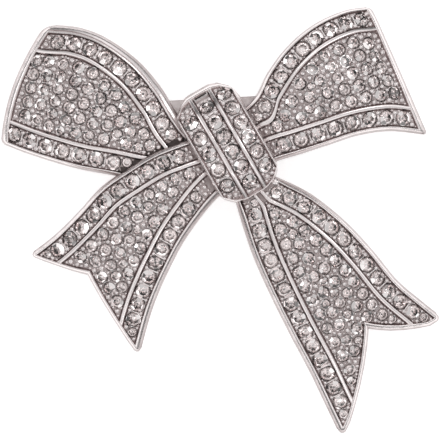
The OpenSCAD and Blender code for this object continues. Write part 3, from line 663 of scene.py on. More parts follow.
def addPlate(shell, strap, seats, covers):
    def platePoint(spots):
        s, v = spots[:, 0], spots[:, 1]
        lift = plateLift(strap, s, v)
        return girdlePoint(strap["rows"], s, v) + girdleFrame(strap["rows"], s, v)[2] * lift[:, None], lift

    border, borderLift = platePoint(plateOutline(strap, plate["inset"]))
    sides = stoneSet["seatSides"]
    angle = np.arange(sides)[:, None] * math.tau / sides
    circle = np.cos(angle), np.sin(angle)
    sizes = ringSizes(seats)
    rings, ringLifts = seatHoles(strap, seats, sizes, circle)
    grid = np.meshgrid(*(np.linspace(0, 1, count) for count in plate["grid"]), indexing="ij")
    spots = np.stack([axis.ravel() for axis in grid], axis=1)
    inner, innerLift = platePoint(np.concatenate([spots, ditchSpots(strap)]))
    keep = insideLoop(inner, border) & (toLoops(inner, [border[:, :2]]) > plate["fromBorder"])
    for seat, r in zip(seats, sizes):
        keep &= np.linalg.norm(inner - seat["at"], axis=1) > r + plate["fromSeat"]
    edges = [(i, (i + 1) % len(border)) for i in range(len(border))]
    for k in range(len(rings)):
        first = len(border) + k * sides
        edges += [(first + i, first + (i + 1) % sides) for i in range(sides)]
    points, lifts, triangles = joinPoints(
        np.concatenate([border] + rings + [inner[keep]]),
        np.concatenate([borderLift] + ringLifts + [innerLift[keep]]), edges)
    centres = np.array([points[list(triangle)].mean(axis=0) for triangle in triangles])
    keep = insideLoop(centres, border)
    for seat, r in zip(seats, sizes):
        offset = centres - seat["at"]
        flat = offset - (offset @ seat["up"])[:, None] * seat["up"]
        keep &= np.linalg.norm(flat, axis=1) > r * math.cos(math.pi / sides) * plate["holeShare"]
    kept = [t for t, ok in zip(triangles, keep) if ok and len(set(t)) == 3]
    # Dullness with painted shade: the plate darkens where it dips into the ditches beside rims and ribs
    soil = np.interp(-lifts - cast["plateDrop"], *soiling["plate"])
    # Painted shade on the plate where a strap lies over it, stronger the nearer that strap is
    near = toLoops(points, covers)
    more, reach = soiling["under"]
    soil = np.minimum(soil + more * (1 - smoothStep(near / reach)), 1.0) * strap["worn"]
    firstFace = len(shell["kinds"])
    first = addPart(shell, points, kept, 0, soil)
    # Faces nearest to that strap take the dark seat metal, as painted shade
    for k, triangle in enumerate(kept):
        shell["kinds"][firstFace + k] = int(near[list(triangle)].mean() < soiling["dark"])
    # Each seat's cup takes the dark seat metal, as painted shade
    for k, (seat, r) in enumerate(zip(seats, sizes)):
        ring = [first + len(border) + k * sides + i for i in range(sides)]
        flat = circle[0] * seat["along"] + circle[1] * seat["across"]
        mouth = seat["at"] + r * flat - seat["up"] * cup["mouth"]
        low = seat["at"] + seat["radius"] * (cup["lowWide"] * flat - cup["low"] * seat["up"])
        tip = seat["at"] - seat["up"] * seat["radius"] * cup["tip"]
        base = addPart(shell, np.concatenate([mouth, low, tip[None]]), [], 1, 1.0)
        for i in range(sides):
            j = (i + 1) % sides
            shell["faces"] += [
                (ring[i], ring[j], base + j, base + i),
                (base + i, base + j, base + sides + j, base + sides + i),
                (base + sides + i, base + sides + j, base + 2 * sides)]
            shell["kinds"] += [1, 1, 1]


# Thin bars cast across a channel, one between two stones of a border row

barLook = {"thick": 0.13, "high": 0.27, "sink": 0.06}


def barRows(strap, spots):
    rows = []
    size = (barLook["thick"], cast["channel"] / 2, barLook["high"])
    for before, after in zip(spots, spots[1:]):
        s, v = (before[0] + after[0]) / 2, (before[1] + after[1]) / 2
        along, across, up = girdleFrame(strap["rows"], s, v)
        at = girdlePoint(strap["rows"], s, v) - up * barLook["sink"]
        rows.append({"at": at, "up": up, "along": along, "stretch": size})
    return rows


# Empty spots of a strap, the widest first: between its stones, rims and ribs, and clear of every strap
# that lies over it

searchGrid = {"step": 0.12, "across": 150, "along": (0.02, 0.99), "side": (0.02, 0.98)}


def outlineLoop(strap):
    spots = plateOutline(strap, min(strap["rims"]))
    return girdlePoint(strap["rows"], spots[:, 0], spots[:, 1])[:, :2]


def emptySpots(strap, seats, covers, limits, reach, space):
    along = np.linspace(*searchGrid["along"], int(strap["length"] / searchGrid["step"]))
    across = np.linspace(*searchGrid["side"], searchGrid["across"])
    s, v = (axis.ravel() for axis in np.meshgrid(along, across, indexing="ij"))
    room = wallDistance(strap, s, v)
    points = girdlePoint(strap["rows"], s, v)
    for loop in covers:
        room = np.where(insideLoop(points, loop), -1, np.minimum(room, toLoops(points, [loop])))
    nearest = np.full(len(s), farAway)
    for seat in seats:
        nearest = np.minimum(nearest, np.linalg.norm(points - seat["at"], axis=1) - seat["radius"])
    room = np.where(nearest > reach, -1, np.minimum(room, nearest))
    found = []
    while room.max() >= limits[0]:
        k = int(room.argmax())
        r = min(room[k], limits[1])
        found.append((s[k], v[k], r))
        room = np.minimum(room, np.linalg.norm(points - points[k], axis=1) - r - space)
    return found


# Small helpers for node trees

def setInputs(tree, sockets, values):  # a socket given as a value is linked, anything else is set
    for name, value in values.items():
        if isinstance(value, bpy.types.NodeSocket):
            tree.links.new(value, sockets[name])
        else:
            sockets[name].default_value = value


def addNode(tree, kind, settings=None, inputs=None):
    node = tree.nodes.new(kind)
    for name, value in (settings or {}).items():
        setattr(node, name, value)
    setInputs(tree, node.inputs, inputs or {})
    return node


def compute(tree, operation, *values):
    return addNode(tree, "ShaderNodeMath", {"operation": operation}, dict(enumerate(values))).outputs[0]


def blend(tree, factor, first, second, kind="MIX"):
    return addNode(tree, "ShaderNodeMix", {"data_type": "RGBA", "blend_type": kind}, {
        "Factor": factor, 6: first, 7: second}).outputs[2]


def addRamp(tree, factor, stops):  # grey levels along the factor
    node = addNode(tree, "ShaderNodeValToRGB", None, {"Fac": factor})
    places = node.color_ramp.elements
    places.remove(places[0])
    for k, (at, level) in enumerate(stops):
        stop = places.new(at) if k else places[0]
        stop.position = at
        stop.color = (level, level, level, 1)
    return node.outputs["Color"]


def newTree(name, kind, inputs, outputs):
    tree = bpy.data.node_groups.new(name, kind)
    for label, socket, value in inputs:
        made = tree.interface.new_socket(name=label, in_out="INPUT", socket_type=socket)
        if value is not None:
            made.default_value = value
    for label, socket in outputs:
        tree.interface.new_socket(name=label, in_out="OUTPUT", socket_type=socket)
    return tree, tree.nodes.new("NodeGroupInput").outputs, tree.nodes.new("NodeGroupOutput").inputs


def inputId(tree, name):
    return next(item.identifier for item in tree.interface.items_tree
                if item.item_type == "SOCKET" and item.in_out == "INPUT" and item.name == name)


# Skin of cast and pickled silver: bright and glossy where its dullness-and-shade value is low, darker,
# rougher and grainier where it is high; that darkening is partly painted shade down in the work
metalLook = {
    "bright": (0.89, 0.826, 0.822, 1),
    "dull": (0.35, 0.292, 0.287, 1),
    "grain": 4500.0,
    "blotch": 900.0,
    "gloss": 0.2,
    "matte": 0.42,
    "grainDepth": 0.00011,
    "grainStrength": 0.6,
}
blotchLook = {"from": 0.3, "to": 0.7, "uneven": 0.12, "wave": 0.12}


def makeSkinGroup():
    tree, given, out = newTree(
        "castSkin", "ShaderNodeTree",
        [("Bright", "NodeSocketColor", (1, 1, 1, 1)), ("Dull", "NodeSocketColor", (0.5, 0.5, 0.5, 1)),
         ("Grain", "NodeSocketFloat", 9000.0), ("Blotch", "NodeSocketFloat", 900.0),
         ("Gloss", "NodeSocketFloat", 0.2), ("Matte", "NodeSocketFloat", 0.5),
         ("Soil", "NodeSocketFloat", 0.0)],
        [("Color", "NodeSocketColor"), ("Roughness", "NodeSocketFloat"), ("Height", "NodeSocketFloat")])
    place = addNode(tree, "ShaderNodeTexCoord").outputs["Object"]
    grain = addNode(tree, "ShaderNodeTexNoise", None, {
        "Vector": place, "Scale": given["Grain"], "Detail": 3.0})
    blotch = addNode(tree, "ShaderNodeTexNoise", None, {
        "Vector": place, "Scale": given["Blotch"], "Detail": 4.0})
    uneven = addNode(tree, "ShaderNodeMapRange", None, {
        "Value": blotch.outputs["Fac"], "From Min": blotchLook["from"], "From Max": blotchLook["to"],
        "To Min": -blotchLook["uneven"], "To Max": blotchLook["uneven"]})
    soil = addNode(tree, "ShaderNodeMath", {"operation": "ADD", "use_clamp": True}, {
        0: given["Soil"], 1: uneven.outputs["Result"]}).outputs[0]
    rough = addNode(tree, "ShaderNodeMapRange", None, {
        "Value": soil, "To Min": given["Gloss"], "To Max": given["Matte"]})
    wave = compute(tree, "MULTIPLY", blotch.outputs["Fac"], blotchLook["wave"])
    setInputs(tree, out, {
        "Color": blend(tree, soil, given["Bright"], given["Dull"]), "Roughness": rough.outputs["Result"],
        "Height": compute(tree, "MULTIPLY_ADD", grain.outputs["Fac"], soil, wave)})
    return tree


castSkin = makeSkinGroup()


def newMaterial(name):
    material = bpy.data.materials.new(name)
    material.use_nodes = True
    return material, material.node_tree, material.node_tree.nodes["Principled BSDF"].inputs


def readValue(tree, name):
    return addNode(tree, "ShaderNodeAttribute", {"attribute_name": name}).outputs["Fac"]


def metalMaterial(name, look):
    material, tree, shader = newMaterial(name)
    skin = addNode(tree, "ShaderNodeGroup", {"node_tree": castSkin}, {
        "Bright": look["bright"], "Dull": look["dull"], "Grain": look["grain"], "Blotch": look["blotch"],
        "Gloss": look["gloss"], "Matte": look["matte"], "Soil": readValue(tree, "soil")}).outputs
    bump = addNode(tree, "ShaderNodeBump", None, {
        "Distance": look["grainDepth"], "Strength": look["grainStrength"], "Height": skin["Height"]})
    setInputs(tree, shader, {
        "Metallic": 1, "Base Color": skin["Color"], "Roughness": skin["Roughness"],
        "Normal": bump.outputs["Normal"]})
    return material


castMetal = metalMaterial("castMetal", metalLook)
# Near-black metal for the seat cups, the knot's slit block and the plate under an overlapping strap: painted
# shade
seatDark = metalMaterial("seatDark", dict(
    metalLook, bright=(0.19, 0.155, 0.15, 1), dull=(0.10, 0.083, 0.08, 1), gloss=0.45, matte=0.6))
pinSteel = metalMaterial("pinSteel", dict(
    metalLook, bright=(0.74, 0.74, 0.75, 1), dull=(0.52, 0.51, 0.51, 1), gloss=0.22, matte=0.4))

glassLook = {
    "tint": (0.97, 0.945, 0.94, 1),
    "clear": (1, 1, 1, 1),
    # Dark colour the glass takes towards the girdle, between the edge shares below: painted shade, the dark
    # ring round each stone
    "edge": (0.15, 0.12, 0.115, 1),
    "edgeFrom": 0.3,
    "edgeTo": 0.85,
    "refraction": 1.6,
    "roughness": 0.01,
}
foilLook = {
    "warmth": (1.0, 0.95, 0.945, 1),
    "roughness": 0.06,
    "toneShare": 0.15,
    # Levels of the foil by a random draw for each facet, nought at the culet: painted reflection, lighter and
    # darker facets
    "levels": ((0.0, 0.2), (0.1, 0.7), (0.2, 0.97), (0.34, 1.0)),
}


def makeGlass():
    material, tree, shader = newMaterial("stoneGlass")
    body = blend(tree, readValue(tree, "tone"), glassLook["tint"], glassLook["clear"])
    # Painted shade: the glass darkens towards the girdle
    near = addNode(tree, "ShaderNodeMapRange", {"interpolation_type": "SMOOTHSTEP"}, {
        "Value": readValue(tree, "edge"), "From Min": glassLook["edgeFrom"], "From Max": glassLook["edgeTo"]})
    setInputs(tree, shader, {
        "Base Color": blend(tree, near.outputs["Result"], body, glassLook["edge"]),
        "Transmission Weight": 1, "IOR": glassLook["refraction"], "Roughness": glassLook["roughness"]})
    return material


def makeFoil():
    material, tree, shader = newMaterial("stoneFoil")
    tone, flash = readValue(tree, "tone"), readValue(tree, "flash")
    both = compute(tree, "MULTIPLY_ADD", tone, foilLook["toneShare"], flash)
    level = addRamp(tree, both, foilLook["levels"])
    setInputs(tree, shader, {
        "Base Color": blend(tree, 1, level, foilLook["warmth"], "MULTIPLY"), "Metallic": 1,
        "Roughness": foilLook["roughness"]})
    return material


stoneGlass = makeGlass()
stoneFoil = makeFoil()


def addPiece(name, data):
    piece = bpy.data.objects.new(name, data)
    bpy.context.collection.objects.link(piece)
    return piece


sharpAngle = math.radians(38)


def meshObject(name, shell, materials):
    mesh = bpy.data.meshes.new(name)
    mesh.from_pydata((np.concatenate(shell["points"]) * mm).tolist(), [], shell["faces"])
    for material in materials:
        mesh.materials.append(material)
    mesh.polygons.foreach_set("material_index", shell["kinds"])
    soil = np.concatenate(shell["soil"]).astype(np.float32)
    mesh.attributes.new("soil", "FLOAT", "POINT").data.foreach_set("value", soil)
    mesh.shade_smooth()
    mesh.set_sharp_from_angle(angle=sharpAngle)
    mesh.update()
    return addPiece(name, mesh)


# Back plate, pin bar, hinge and catch are slabs: an outline drawn in one plane and pulled along the
# third axis

def slab(outline, low, high, bevel, axes):
    outline = np.asarray(outline, float)
    ahead = unit(np.roll(outline, -1, axis=0) - outline)
    behind = unit(outline - np.roll(outline, 1, axis=0))
    tangent = unit(ahead + behind)
    inward = np.stack([-tangent[:, 1], tangent[:, 0]], axis=1)
    n = len(outline)
    rings = [(low, bevel), (low + 0.3 * bevel, 0.3 * bevel), (low + bevel, 0), (high - bevel, 0),
             (high - 0.3 * bevel, 0.3 * bevel), (high, bevel)]
    points = np.zeros((len(rings) * n, 3))
    for k, (level, inset) in enumerate(rings):
        flat = outline + inward * inset
        points[k * n:(k + 1) * n, axes[0]] = flat[:, 0]
        points[k * n:(k + 1) * n, axes[1]] = flat[:, 1]
        points[k * n:(k + 1) * n, axes[2]] = level
    faces = []
    for k in range(len(rings) - 1):
        for i in range(n):
            j = (i + 1) % n
            faces.append((k * n + i, k * n + j, (k + 1) * n + j, (k + 1) * n + i))
    faces.append(tuple(range(n - 1, -1, -1)))
    faces.append(tuple((len(rings) - 1) * n + i for i in range(n)))
    return points, faces


def arc(centre, radius, first, last, count):
    angle = np.radians(np.linspace(first, last, count))
    return [(centre[0] + radius * math.cos(t), centre[1] + radius * math.sin(t)) for t in angle]


# The casting

beadLook = {
    "least": 0.14,  # least and most radius of a bead
    "most": 0.4,
    "swell": -0.02,  # how much wider it gets than the spot it was found for
    "reach": 1.2,  # most that its middle is away from a stone
    "space": -0.03,
    "bare": 0.7,  # so near to a strap that lies over it, every second bead is left out
    "flat": 0.95,
    "sink": 0.02,
    "wander": 0.25,
    "soil": 0.2,
    "segments": 8,
    "rings": 5,
    "seed": 3,
}
bow = newShell()
bars, beads = [], []
allSeats = {}
straps = {name: ribbonStrap(values) for name, values in ribbons.items()}
knot = knotStrapShape(knotStrap)
over = {name: [outlineLoop(knot)] for name in straps}
over["leftLoop"].append(outlineLoop(straps["leftTail"]))


def fillStrap(strap, seats, covers):  # its plate, then beads in the gaps; the first cover gets no painted shade under it
    addPlate(bow, strap, seats, covers[1:])
    limits = beadLook["least"], beadLook["most"]
    found = emptySpots(strap, seats, covers, limits, beadLook["reach"], beadLook["space"])
    for k, (s, v, r) in enumerate(found):
        gap = toLoops(girdlePoint(strap["rows"], s, v)[None], covers[1:])[0]
        if gap > beadLook["bare"] or k % 2:
            beads.append((strap, s, v, r + beadLook["swell"]))


def ribbonSole(t):  # height of the wall's foot: behind the knot it stands off, further out it comes down
    return cast["backHeight"] * (1 - smoothStep((t - cast["soleFrom"]) / cast["soleSpan"]))


def knotSole(t):
    return np.full(len(t), cast["knotSole"])


for name, strap in straps.items():
    values = ribbons[name]
    borders = [borderSpots(strap, border) for border in values["borders"]]
    bars += [row for spots in borders for row in barRows(strap, spots)]
    fieldRows = [fieldSpots(strap, row) for row in values["field"]]
    seats = seatList(strap, [spot for spots in borders for spot in spots], stoneSet["big"])
    seats += seatList(strap, [spot for spots in fieldRows for spot in spots], stoneSet["small"])
    limits = stoneSet["least"] + stoneSet["gap"], stoneSet["most"] + stoneSet["gap"]
    for s, v, r in emptySpots(strap, seats, over[name], limits, stoneSet["reach"], 0):
        seats += seatList(strap, [(s, v)], 2 * (r - stoneSet["gap"]))
    allSeats[values["stones"]] = seats
    addStrap(bow, strap, ribbonLines(strap), cast["rows"], ribbonSole, cast["skirt"])
    fillStrap(strap, seats, over[name])
    print(name, len(seats), "seats", len(beads), "beads so far")

knotSeats = []
for place, first, last, count in knotStrap["stoneRows"]:
    spots = [(s, 0.5 + place * pitch / knotStrap["width"]) for s in np.linspace(first, last, count)]
    knotSeats += seatList(knot, spots, stoneSet["big"])
    bars += barRows(knot, spots)
allSeats["knot_stones"] = knotSeats
addStrap(bow, knot, knotLines(knot), cast["knotRows"], knotSole, cast["depth"])

# Smooth head of the knot's middle row, with a thin block of the dark seat metal across it as the painted
# shade of a narrow slit
head = {
    "from": 0.045,  # stations
    "to": 0.088,
    "wide": 1.9,
    "high": 0.08,  # over the girdles
    "deep": 0.25,
    "slitAt": 0.06,
    "slit": (0.26, 1.6),
    "slitHigh": 0.1,
    "soil": 0.15,
}
sidePairs = ((0, 1), (1, 2), (2, 3), (3, 0))


def addBlock(shell, strap, s, size, low, high, kind, soil):  # gives its outline seen from above
    along, across, up = girdleFrame(strap["rows"], s, 0.5)
    middle = girdlePoint(strap["rows"], s, 0.5)
    corners = np.array([middle + along * size[0] / 2 * a + across * size[1] / 2 * b + up * h
                        for h in (low, high) for a, b in ((-1, -1), (1, -1), (1, 1), (-1, 1))])
    faces = [(3, 2, 1, 0), (4, 5, 6, 7)] + [(k, j, 4 + j, 4 + k) for k, j in sidePairs]
    addPart(shell, corners, faces, kind, soil)
    t = np.linspace(0, 1, 12)[:, None]
    return np.concatenate([mix(corners[k, :2], corners[j, :2], t) for k, j in sidePairs])


size = ((head["to"] - head["from"]) * knot["length"], head["wide"])
middle = (head["from"] + head["to"]) / 2
headLoop = addBlock(bow, knot, middle, size, -head["deep"], head["high"], 0, head["soil"])
# The slit is not cut: a thin raised block of the dark seat metal stands over the girdles as painted shade
addBlock(bow, knot, head["slitAt"], head["slit"], 0, head["slitHigh"], 1, 1.0)
fillStrap(knot, knotSeats, [headLoop])

# Back plate behind the knot
backPlate = {
    "x": (-0.32, 0.33),
    "y": (0.37, 0.547),
    "corner": 0.6,
    "thick": 0.9,
    "bevel": 0.12,
    "turn": 3,
    "band": 0.05,  # width of the painted shade along its upper edge
    "soil": (1.0, 0.65),  # painted shade in the band, plain dullness elsewhere
}
corners = []
for cx, cy, a in ((0, 0, 180), (1, 0, 270), (1, 1, 0), (0, 1, 90)):
    middle = (backPlate["x"][cx] * cast["halfWidth"], backPlate["y"][cy] * cast["halfHeight"])
    corners += arc(middle, backPlate["corner"], a, a + 90, 7)
turn = math.radians(backPlate["turn"])
spin = np.array([[math.cos(turn), math.sin(turn)], [-math.sin(turn), math.cos(turn)]])
low = cast["backHeight"]
points, faces = slab(np.array(corners) @ spin, low, low + backPlate["thick"], backPlate["bevel"], (0, 1, 2))
edge = backPlate["y"][1] * cast["halfHeight"] + backPlate["corner"] - backPlate["band"]
upper = (points[:, :2] @ spin.T)[:, 1] > edge
addPart(bow, points, faces, 0, np.where(upper, *backPlate["soil"]))

bowMetal = meshObject("bowMetal", bow, [castMetal, seatDark])
print("casting built:", len(beads), "beads")


# Beads of metal between the stones

def pointCloud(name, rows):
    mesh = bpy.data.meshes.new(name)
    mesh.from_pydata([tuple(row["at"] * mm) for row in rows], [], [])
    for label in ("up", "along", "stretch"):
        layer = mesh.attributes.new(label, "FLOAT_VECTOR", "POINT")
        layer.data.foreach_set("vector", np.array([row[label] for row in rows], np.float32).ravel())
    return addPiece(name, mesh)


def named(tree, label, kind):
    node = addNode(tree, "GeometryNodeInputNamedAttribute", {"data_type": kind}, {"Name": label})
    return node.outputs["Attribute"]


def standing(tree, seed, wander):  # turn that stands a shape on its point, leaning a little at random
    shake = addNode(tree, "FunctionNodeRandomValue", {"data_type": "FLOAT_VECTOR"}, {
        "Min": (-1, -1, -1), "Max": (1, 1, 1), "Seed": seed})
    small = addNode(tree, "ShaderNodeVectorMath", {"operation": "SCALE"}, {
        0: shake.outputs[0], "Scale": wander})
    lean = addNode(tree, "ShaderNodeVectorMath", {"operation": "ADD"}, {
        0: named(tree, "up", "FLOAT_VECTOR"), 1: small.outputs[0]})
    stand = addNode(tree, "FunctionNodeAlignRotationToVector", {"axis": "Z"}, {"Vector": lean.outputs[0]})
    return stand.outputs["Rotation"]


def beadTree():
    tree, given, out = newTree(
        "setBeads", "GeometryNodeTree",
        [("Places", "NodeSocketGeometry", None), ("Segments", "NodeSocketInt", 8),
         ("Rings", "NodeSocketInt", 5), ("Wander", "NodeSocketFloat", 0.1), ("Seed", "NodeSocketInt", 3),
         ("Soil", "NodeSocketFloat", 0.2), ("Metal", "NodeSocketMaterial", None)],
        [("Beads", "NodeSocketGeometry")])
    dull = addNode(tree, "FunctionNodeRandomValue", {"data_type": "FLOAT"}, {
        3: given["Soil"], "Seed": given["Seed"]})
    soiled = addNode(tree, "GeometryNodeStoreNamedAttribute", {"data_type": "FLOAT", "domain": "POINT"}, {
        "Geometry": given["Places"], "Name": "soil", "Value": dull.outputs[1]})
    ball = addNode(tree, "GeometryNodeMeshUVSphere", None, {
        "Segments": given["Segments"], "Rings": given["Rings"], "Radius": mm})
    smooth = addNode(tree, "GeometryNodeSetShadeSmooth", None, {"Geometry": ball.outputs["Mesh"]})
    face = addNode(tree, "FunctionNodeAlignRotationToVector", {"axis": "X", "pivot_axis": "Z"}, {
        "Rotation": standing(tree, given["Seed"], given["Wander"]),
        "Vector": named(tree, "along", "FLOAT_VECTOR")})
    placed = addNode(tree, "GeometryNodeInstanceOnPoints", None, {
        "Points": soiled.outputs["Geometry"], "Instance": smooth.outputs["Geometry"],
        "Rotation": face.outputs["Rotation"], "Scale": named(tree, "stretch", "FLOAT_VECTOR")})
    real = addNode(tree, "GeometryNodeRealizeInstances", None, {"Geometry": placed.outputs["Instances"]})
    metal = addNode(tree, "GeometryNodeSetMaterial", None, {
        "Geometry": real.outputs["Geometry"], "Material": given["Metal"]})
    setInputs(tree, out, {"Beads": metal.outputs["Geometry"]})
    return tree


def growPiece(name, places, tree, values, materials):
    grower = places.modifiers.new(name, "NODES")
    grower.node_group = tree
    for label, value in values.items():
        grower[inputId(tree, label)] = value
    places.update_tag()
    graph = bpy.context.evaluated_depsgraph_get()
    mesh = bpy.data.meshes.new_from_object(places.evaluated_get(graph))
    mesh.name = name
    index = np.zeros(len(mesh.polygons), np.int32)
    mesh.polygons.foreach_get("material_index", index)
    order = [materials.index(material) if material else 0 for material in mesh.materials]
    mesh.materials.clear()
    for material in materials:
        mesh.materials.append(material)
    mesh.polygons.foreach_set("material_index", np.array(order, np.int32)[index])
    places.modifiers.remove(grower)
    bpy.data.objects.remove(places)
    return addPiece(name, mesh)


rows = []
for strap, s, v, r in beads:
    along, across, up = girdleFrame(strap["rows"], s, v)
    at = girdlePoint(strap["rows"], s, v) - up * (cast["plateDrop"] + beadLook["sink"])
    rows.append({"at": at, "up": up, "along": along, "stretch": (r, r, r * beadLook["flat"])})
rows += bars

# Plain curl of metal beside the knot's foot, at the nearest of a grid of places on the right tail
fold = {"x": 6.75, "y": 4.85, "size": (0.85, 0.6, 0.4), "reach": 0.3, "tries": 60}
tail = straps["rightTail"]["rows"]
grid = np.meshgrid(np.linspace(0, fold["reach"], fold["tries"]), np.linspace(0, 1, fold["tries"]))
s, v = (axis.ravel() for axis in grid)
k = int(np.linalg.norm(girdlePoint(tail, s, v)[:, :2] - (fold["x"], fold["y"]), axis=1).argmin())
along, across, up = girdleFrame(tail, s[k], v[k])
rows.append({"at": girdlePoint(tail, s[k], v[k]), "up": up, "along": along, "stretch": fold["size"]})
beadWork = growPiece("beadWork", pointCloud("beadPlaces", rows), beadTree(), {
    "Segments": beadLook["segments"], "Rings": beadLook["rings"], "Wander": beadLook["wander"],
    "Seed": beadLook["seed"], "Soil": beadLook["soil"], "Metal": castMetal}, [castMetal])
print("beads set:", len(rows))


# Cut of a stone one unit across: a table, eight crown facets over the girdle and eight pavilion facets
# down to the culet

cut = {"table": 0.56, "crown": 0.155, "pavilion": 0.425, "culet": 0.08}


def cutStone():
    points, faces = [], []

    def ring(radius, height, count):
        first = len(points)
        for k in range(count):
            t = k * math.tau / count
            points.append((radius * math.cos(t), radius * math.sin(t), height))
        return [first + k for k in range(count)]

    table = ring(cut["table"] / 2, cut["crown"], 8)
    girdle = ring(0.5, 0, 16)
    culet = ring(cut["culet"], -cut["pavilion"] + cut["culet"] * 0.8, 8)
    faces.append(tuple(table))
    for k in range(8):
        j = (k + 1) % 8
        faces.append((table[k], girdle[2 * k], girdle[2 * k + 1], girdle[2 * j], table[j]))
    crownCount = len(faces)
    for k in range(8):
        j = (k + 1) % 8
        faces.append((girdle[2 * k], culet[k], culet[j], girdle[2 * j], girdle[2 * k + 1]))
    faces.append(tuple(culet[::-1]))
    mesh = bpy.data.meshes.new("cutStone")
    mesh.from_pydata(points, [], faces)
    order = range(len(faces))
    for label, kind, domain, values in (
            ("foil", "BOOLEAN", "FACE", [i >= crownCount for i in order]),
            ("crown", "BOOLEAN", "FACE", [0 < i < crownCount for i in order]),
            ("edge", "FLOAT", "POINT", [float(k in girdle) for k in range(len(points))]),
            ("culet", "BOOLEAN", "FACE", [i == len(faces) - 1 for i in order])):
        mesh.attributes.new(label, kind, domain).data.foreach_set("value", values)
    return addPiece("cutStone", mesh)


def stoneTree():
    tree, given, out = newTree(
        "setStones", "GeometryNodeTree",
        [("Seats", "NodeSocketGeometry", None), ("Stone", "NodeSocketObject", None),
         ("Lean", "NodeSocketFloat", 0.05), ("Glint", "NodeSocketFloat", 0.9), ("Seed", "NodeSocketInt", 1),
         ("Crown", "NodeSocketMaterial", None), ("Pavilion", "NodeSocketMaterial", None)],
        [("Stones", "NodeSocketGeometry")])
    tone = addNode(tree, "FunctionNodeRandomValue", {"data_type": "FLOAT"}, {"Seed": given["Seed"]})
    toned = addNode(tree, "GeometryNodeStoreNamedAttribute", {"data_type": "FLOAT", "domain": "POINT"}, {
        "Geometry": given["Seats"], "Name": "tone", "Value": tone.outputs[1]})
    angle = addNode(tree, "FunctionNodeRandomValue", {"data_type": "FLOAT"}, {
        3: math.tau, "Seed": compute(tree, "ADD", given["Seed"], 11)})
    turn = addNode(tree, "FunctionNodeAxisAngleToRotation", None, {
        "Axis": (0, 0, 1), "Angle": angle.outputs[1]})
    turned = addNode(tree, "FunctionNodeRotateRotation", {"rotation_space": "LOCAL"}, {
        "Rotation": standing(tree, given["Seed"], given["Lean"]), "Rotate By": turn.outputs["Rotation"]})
    shape = addNode(tree, "GeometryNodeObjectInfo", None, {"Object": given["Stone"]})
    placed = addNode(tree, "GeometryNodeInstanceOnPoints", None, {
        "Points": toned.outputs["Geometry"], "Instance": shape.outputs["Geometry"],
        "Rotation": turned.outputs["Rotation"], "Scale": named(tree, "stretch", "FLOAT_VECTOR")})
    real = addNode(tree, "GeometryNodeRealizeInstances", None, {"Geometry": placed.outputs["Instances"]})
    # Random level for each facet, nought at the culet: painted reflection, light and dark facets and a darker
    # middle
    flash = addNode(tree, "FunctionNodeRandomValue", {"data_type": "FLOAT"}, {"Seed": given["Seed"]})
    lit = compute(tree, "SUBTRACT", 1, named(tree, "culet", "BOOLEAN"))
    faceted = addNode(tree, "GeometryNodeStoreNamedAttribute", {"data_type": "FLOAT", "domain": "FACE"}, {
        "Geometry": real.outputs["Geometry"], "Name": "flash",
        "Value": compute(tree, "MULTIPLY", flash.outputs[1], lit)})
    crown = addNode(tree, "GeometryNodeSetMaterial", None, {
        "Geometry": faceted.outputs["Geometry"], "Material": given["Crown"]})
    # Crown facets drawn over the glint level take the foil's mirror: painted glints
    bright = addNode(tree, "FunctionNodeCompare", {"data_type": "FLOAT", "operation": "GREATER_THAN"}, {
        "A": named(tree, "flash", "FLOAT"), "B": given["Glint"]})
    glint = addNode(tree, "FunctionNodeBooleanMath", {"operation": "AND"}, {
        0: bright.outputs["Result"], 1: named(tree, "crown", "BOOLEAN")})
    mirrored = addNode(tree, "FunctionNodeBooleanMath", {"operation": "OR"}, {
        0: glint.outputs[0], 1: named(tree, "foil", "BOOLEAN")})
    foil = addNode(tree, "GeometryNodeSetMaterial", None, {
        "Geometry": crown.outputs["Geometry"], "Selection": mirrored.outputs[0],
        "Material": given["Pavilion"]})
    setInputs(tree, out, {"Stones": foil.outputs["Geometry"]})
    return tree


def camelName(node):  # left_loop_stones becomes leftLoopStones
    first, *others = node.split("_")
    return first + "".join(word.title() for word in others)


stoneShape = cutStone()
stonesTree = stoneTree()
stonePieces = []
for k, (node, seats) in enumerate(allSeats.items()):
    seed, reach = stoneSet["seed"] + k, stoneSet["stray"]
    stray = np.random.default_rng(seed).uniform(-reach, reach, (len(seats), 2))
    rows = []
    for seat, ring, (x, y) in zip(seats, ringSizes(seats), stray):
        size = mix(seat["radius"], ring, stoneSet["fill"]) * 2 * mm
        at = seat["at"] + seat["along"] * x + seat["across"] * y
        rows.append({"at": at, "up": seat["up"], "along": seat["along"], "stretch": (size, size, size)})
    piece = growPiece(camelName(node), pointCloud(node, rows), stonesTree, {
        "Stone": stoneShape, "Lean": math.radians(stoneSet["lean"]), "Seed": seed, "Glint": stoneSet["glint"],
        "Crown": stoneGlass, "Pavilion": stoneFoil}, [stoneGlass, stoneFoil])
    stonePieces.append((piece, node))
bpy.data.objects.remove(stoneShape)
print("stones set:", sum(len(seats) for seats in allSeats.values()))


# Pin finding behind the knot: base bar, hinge, tapered stem and open catch

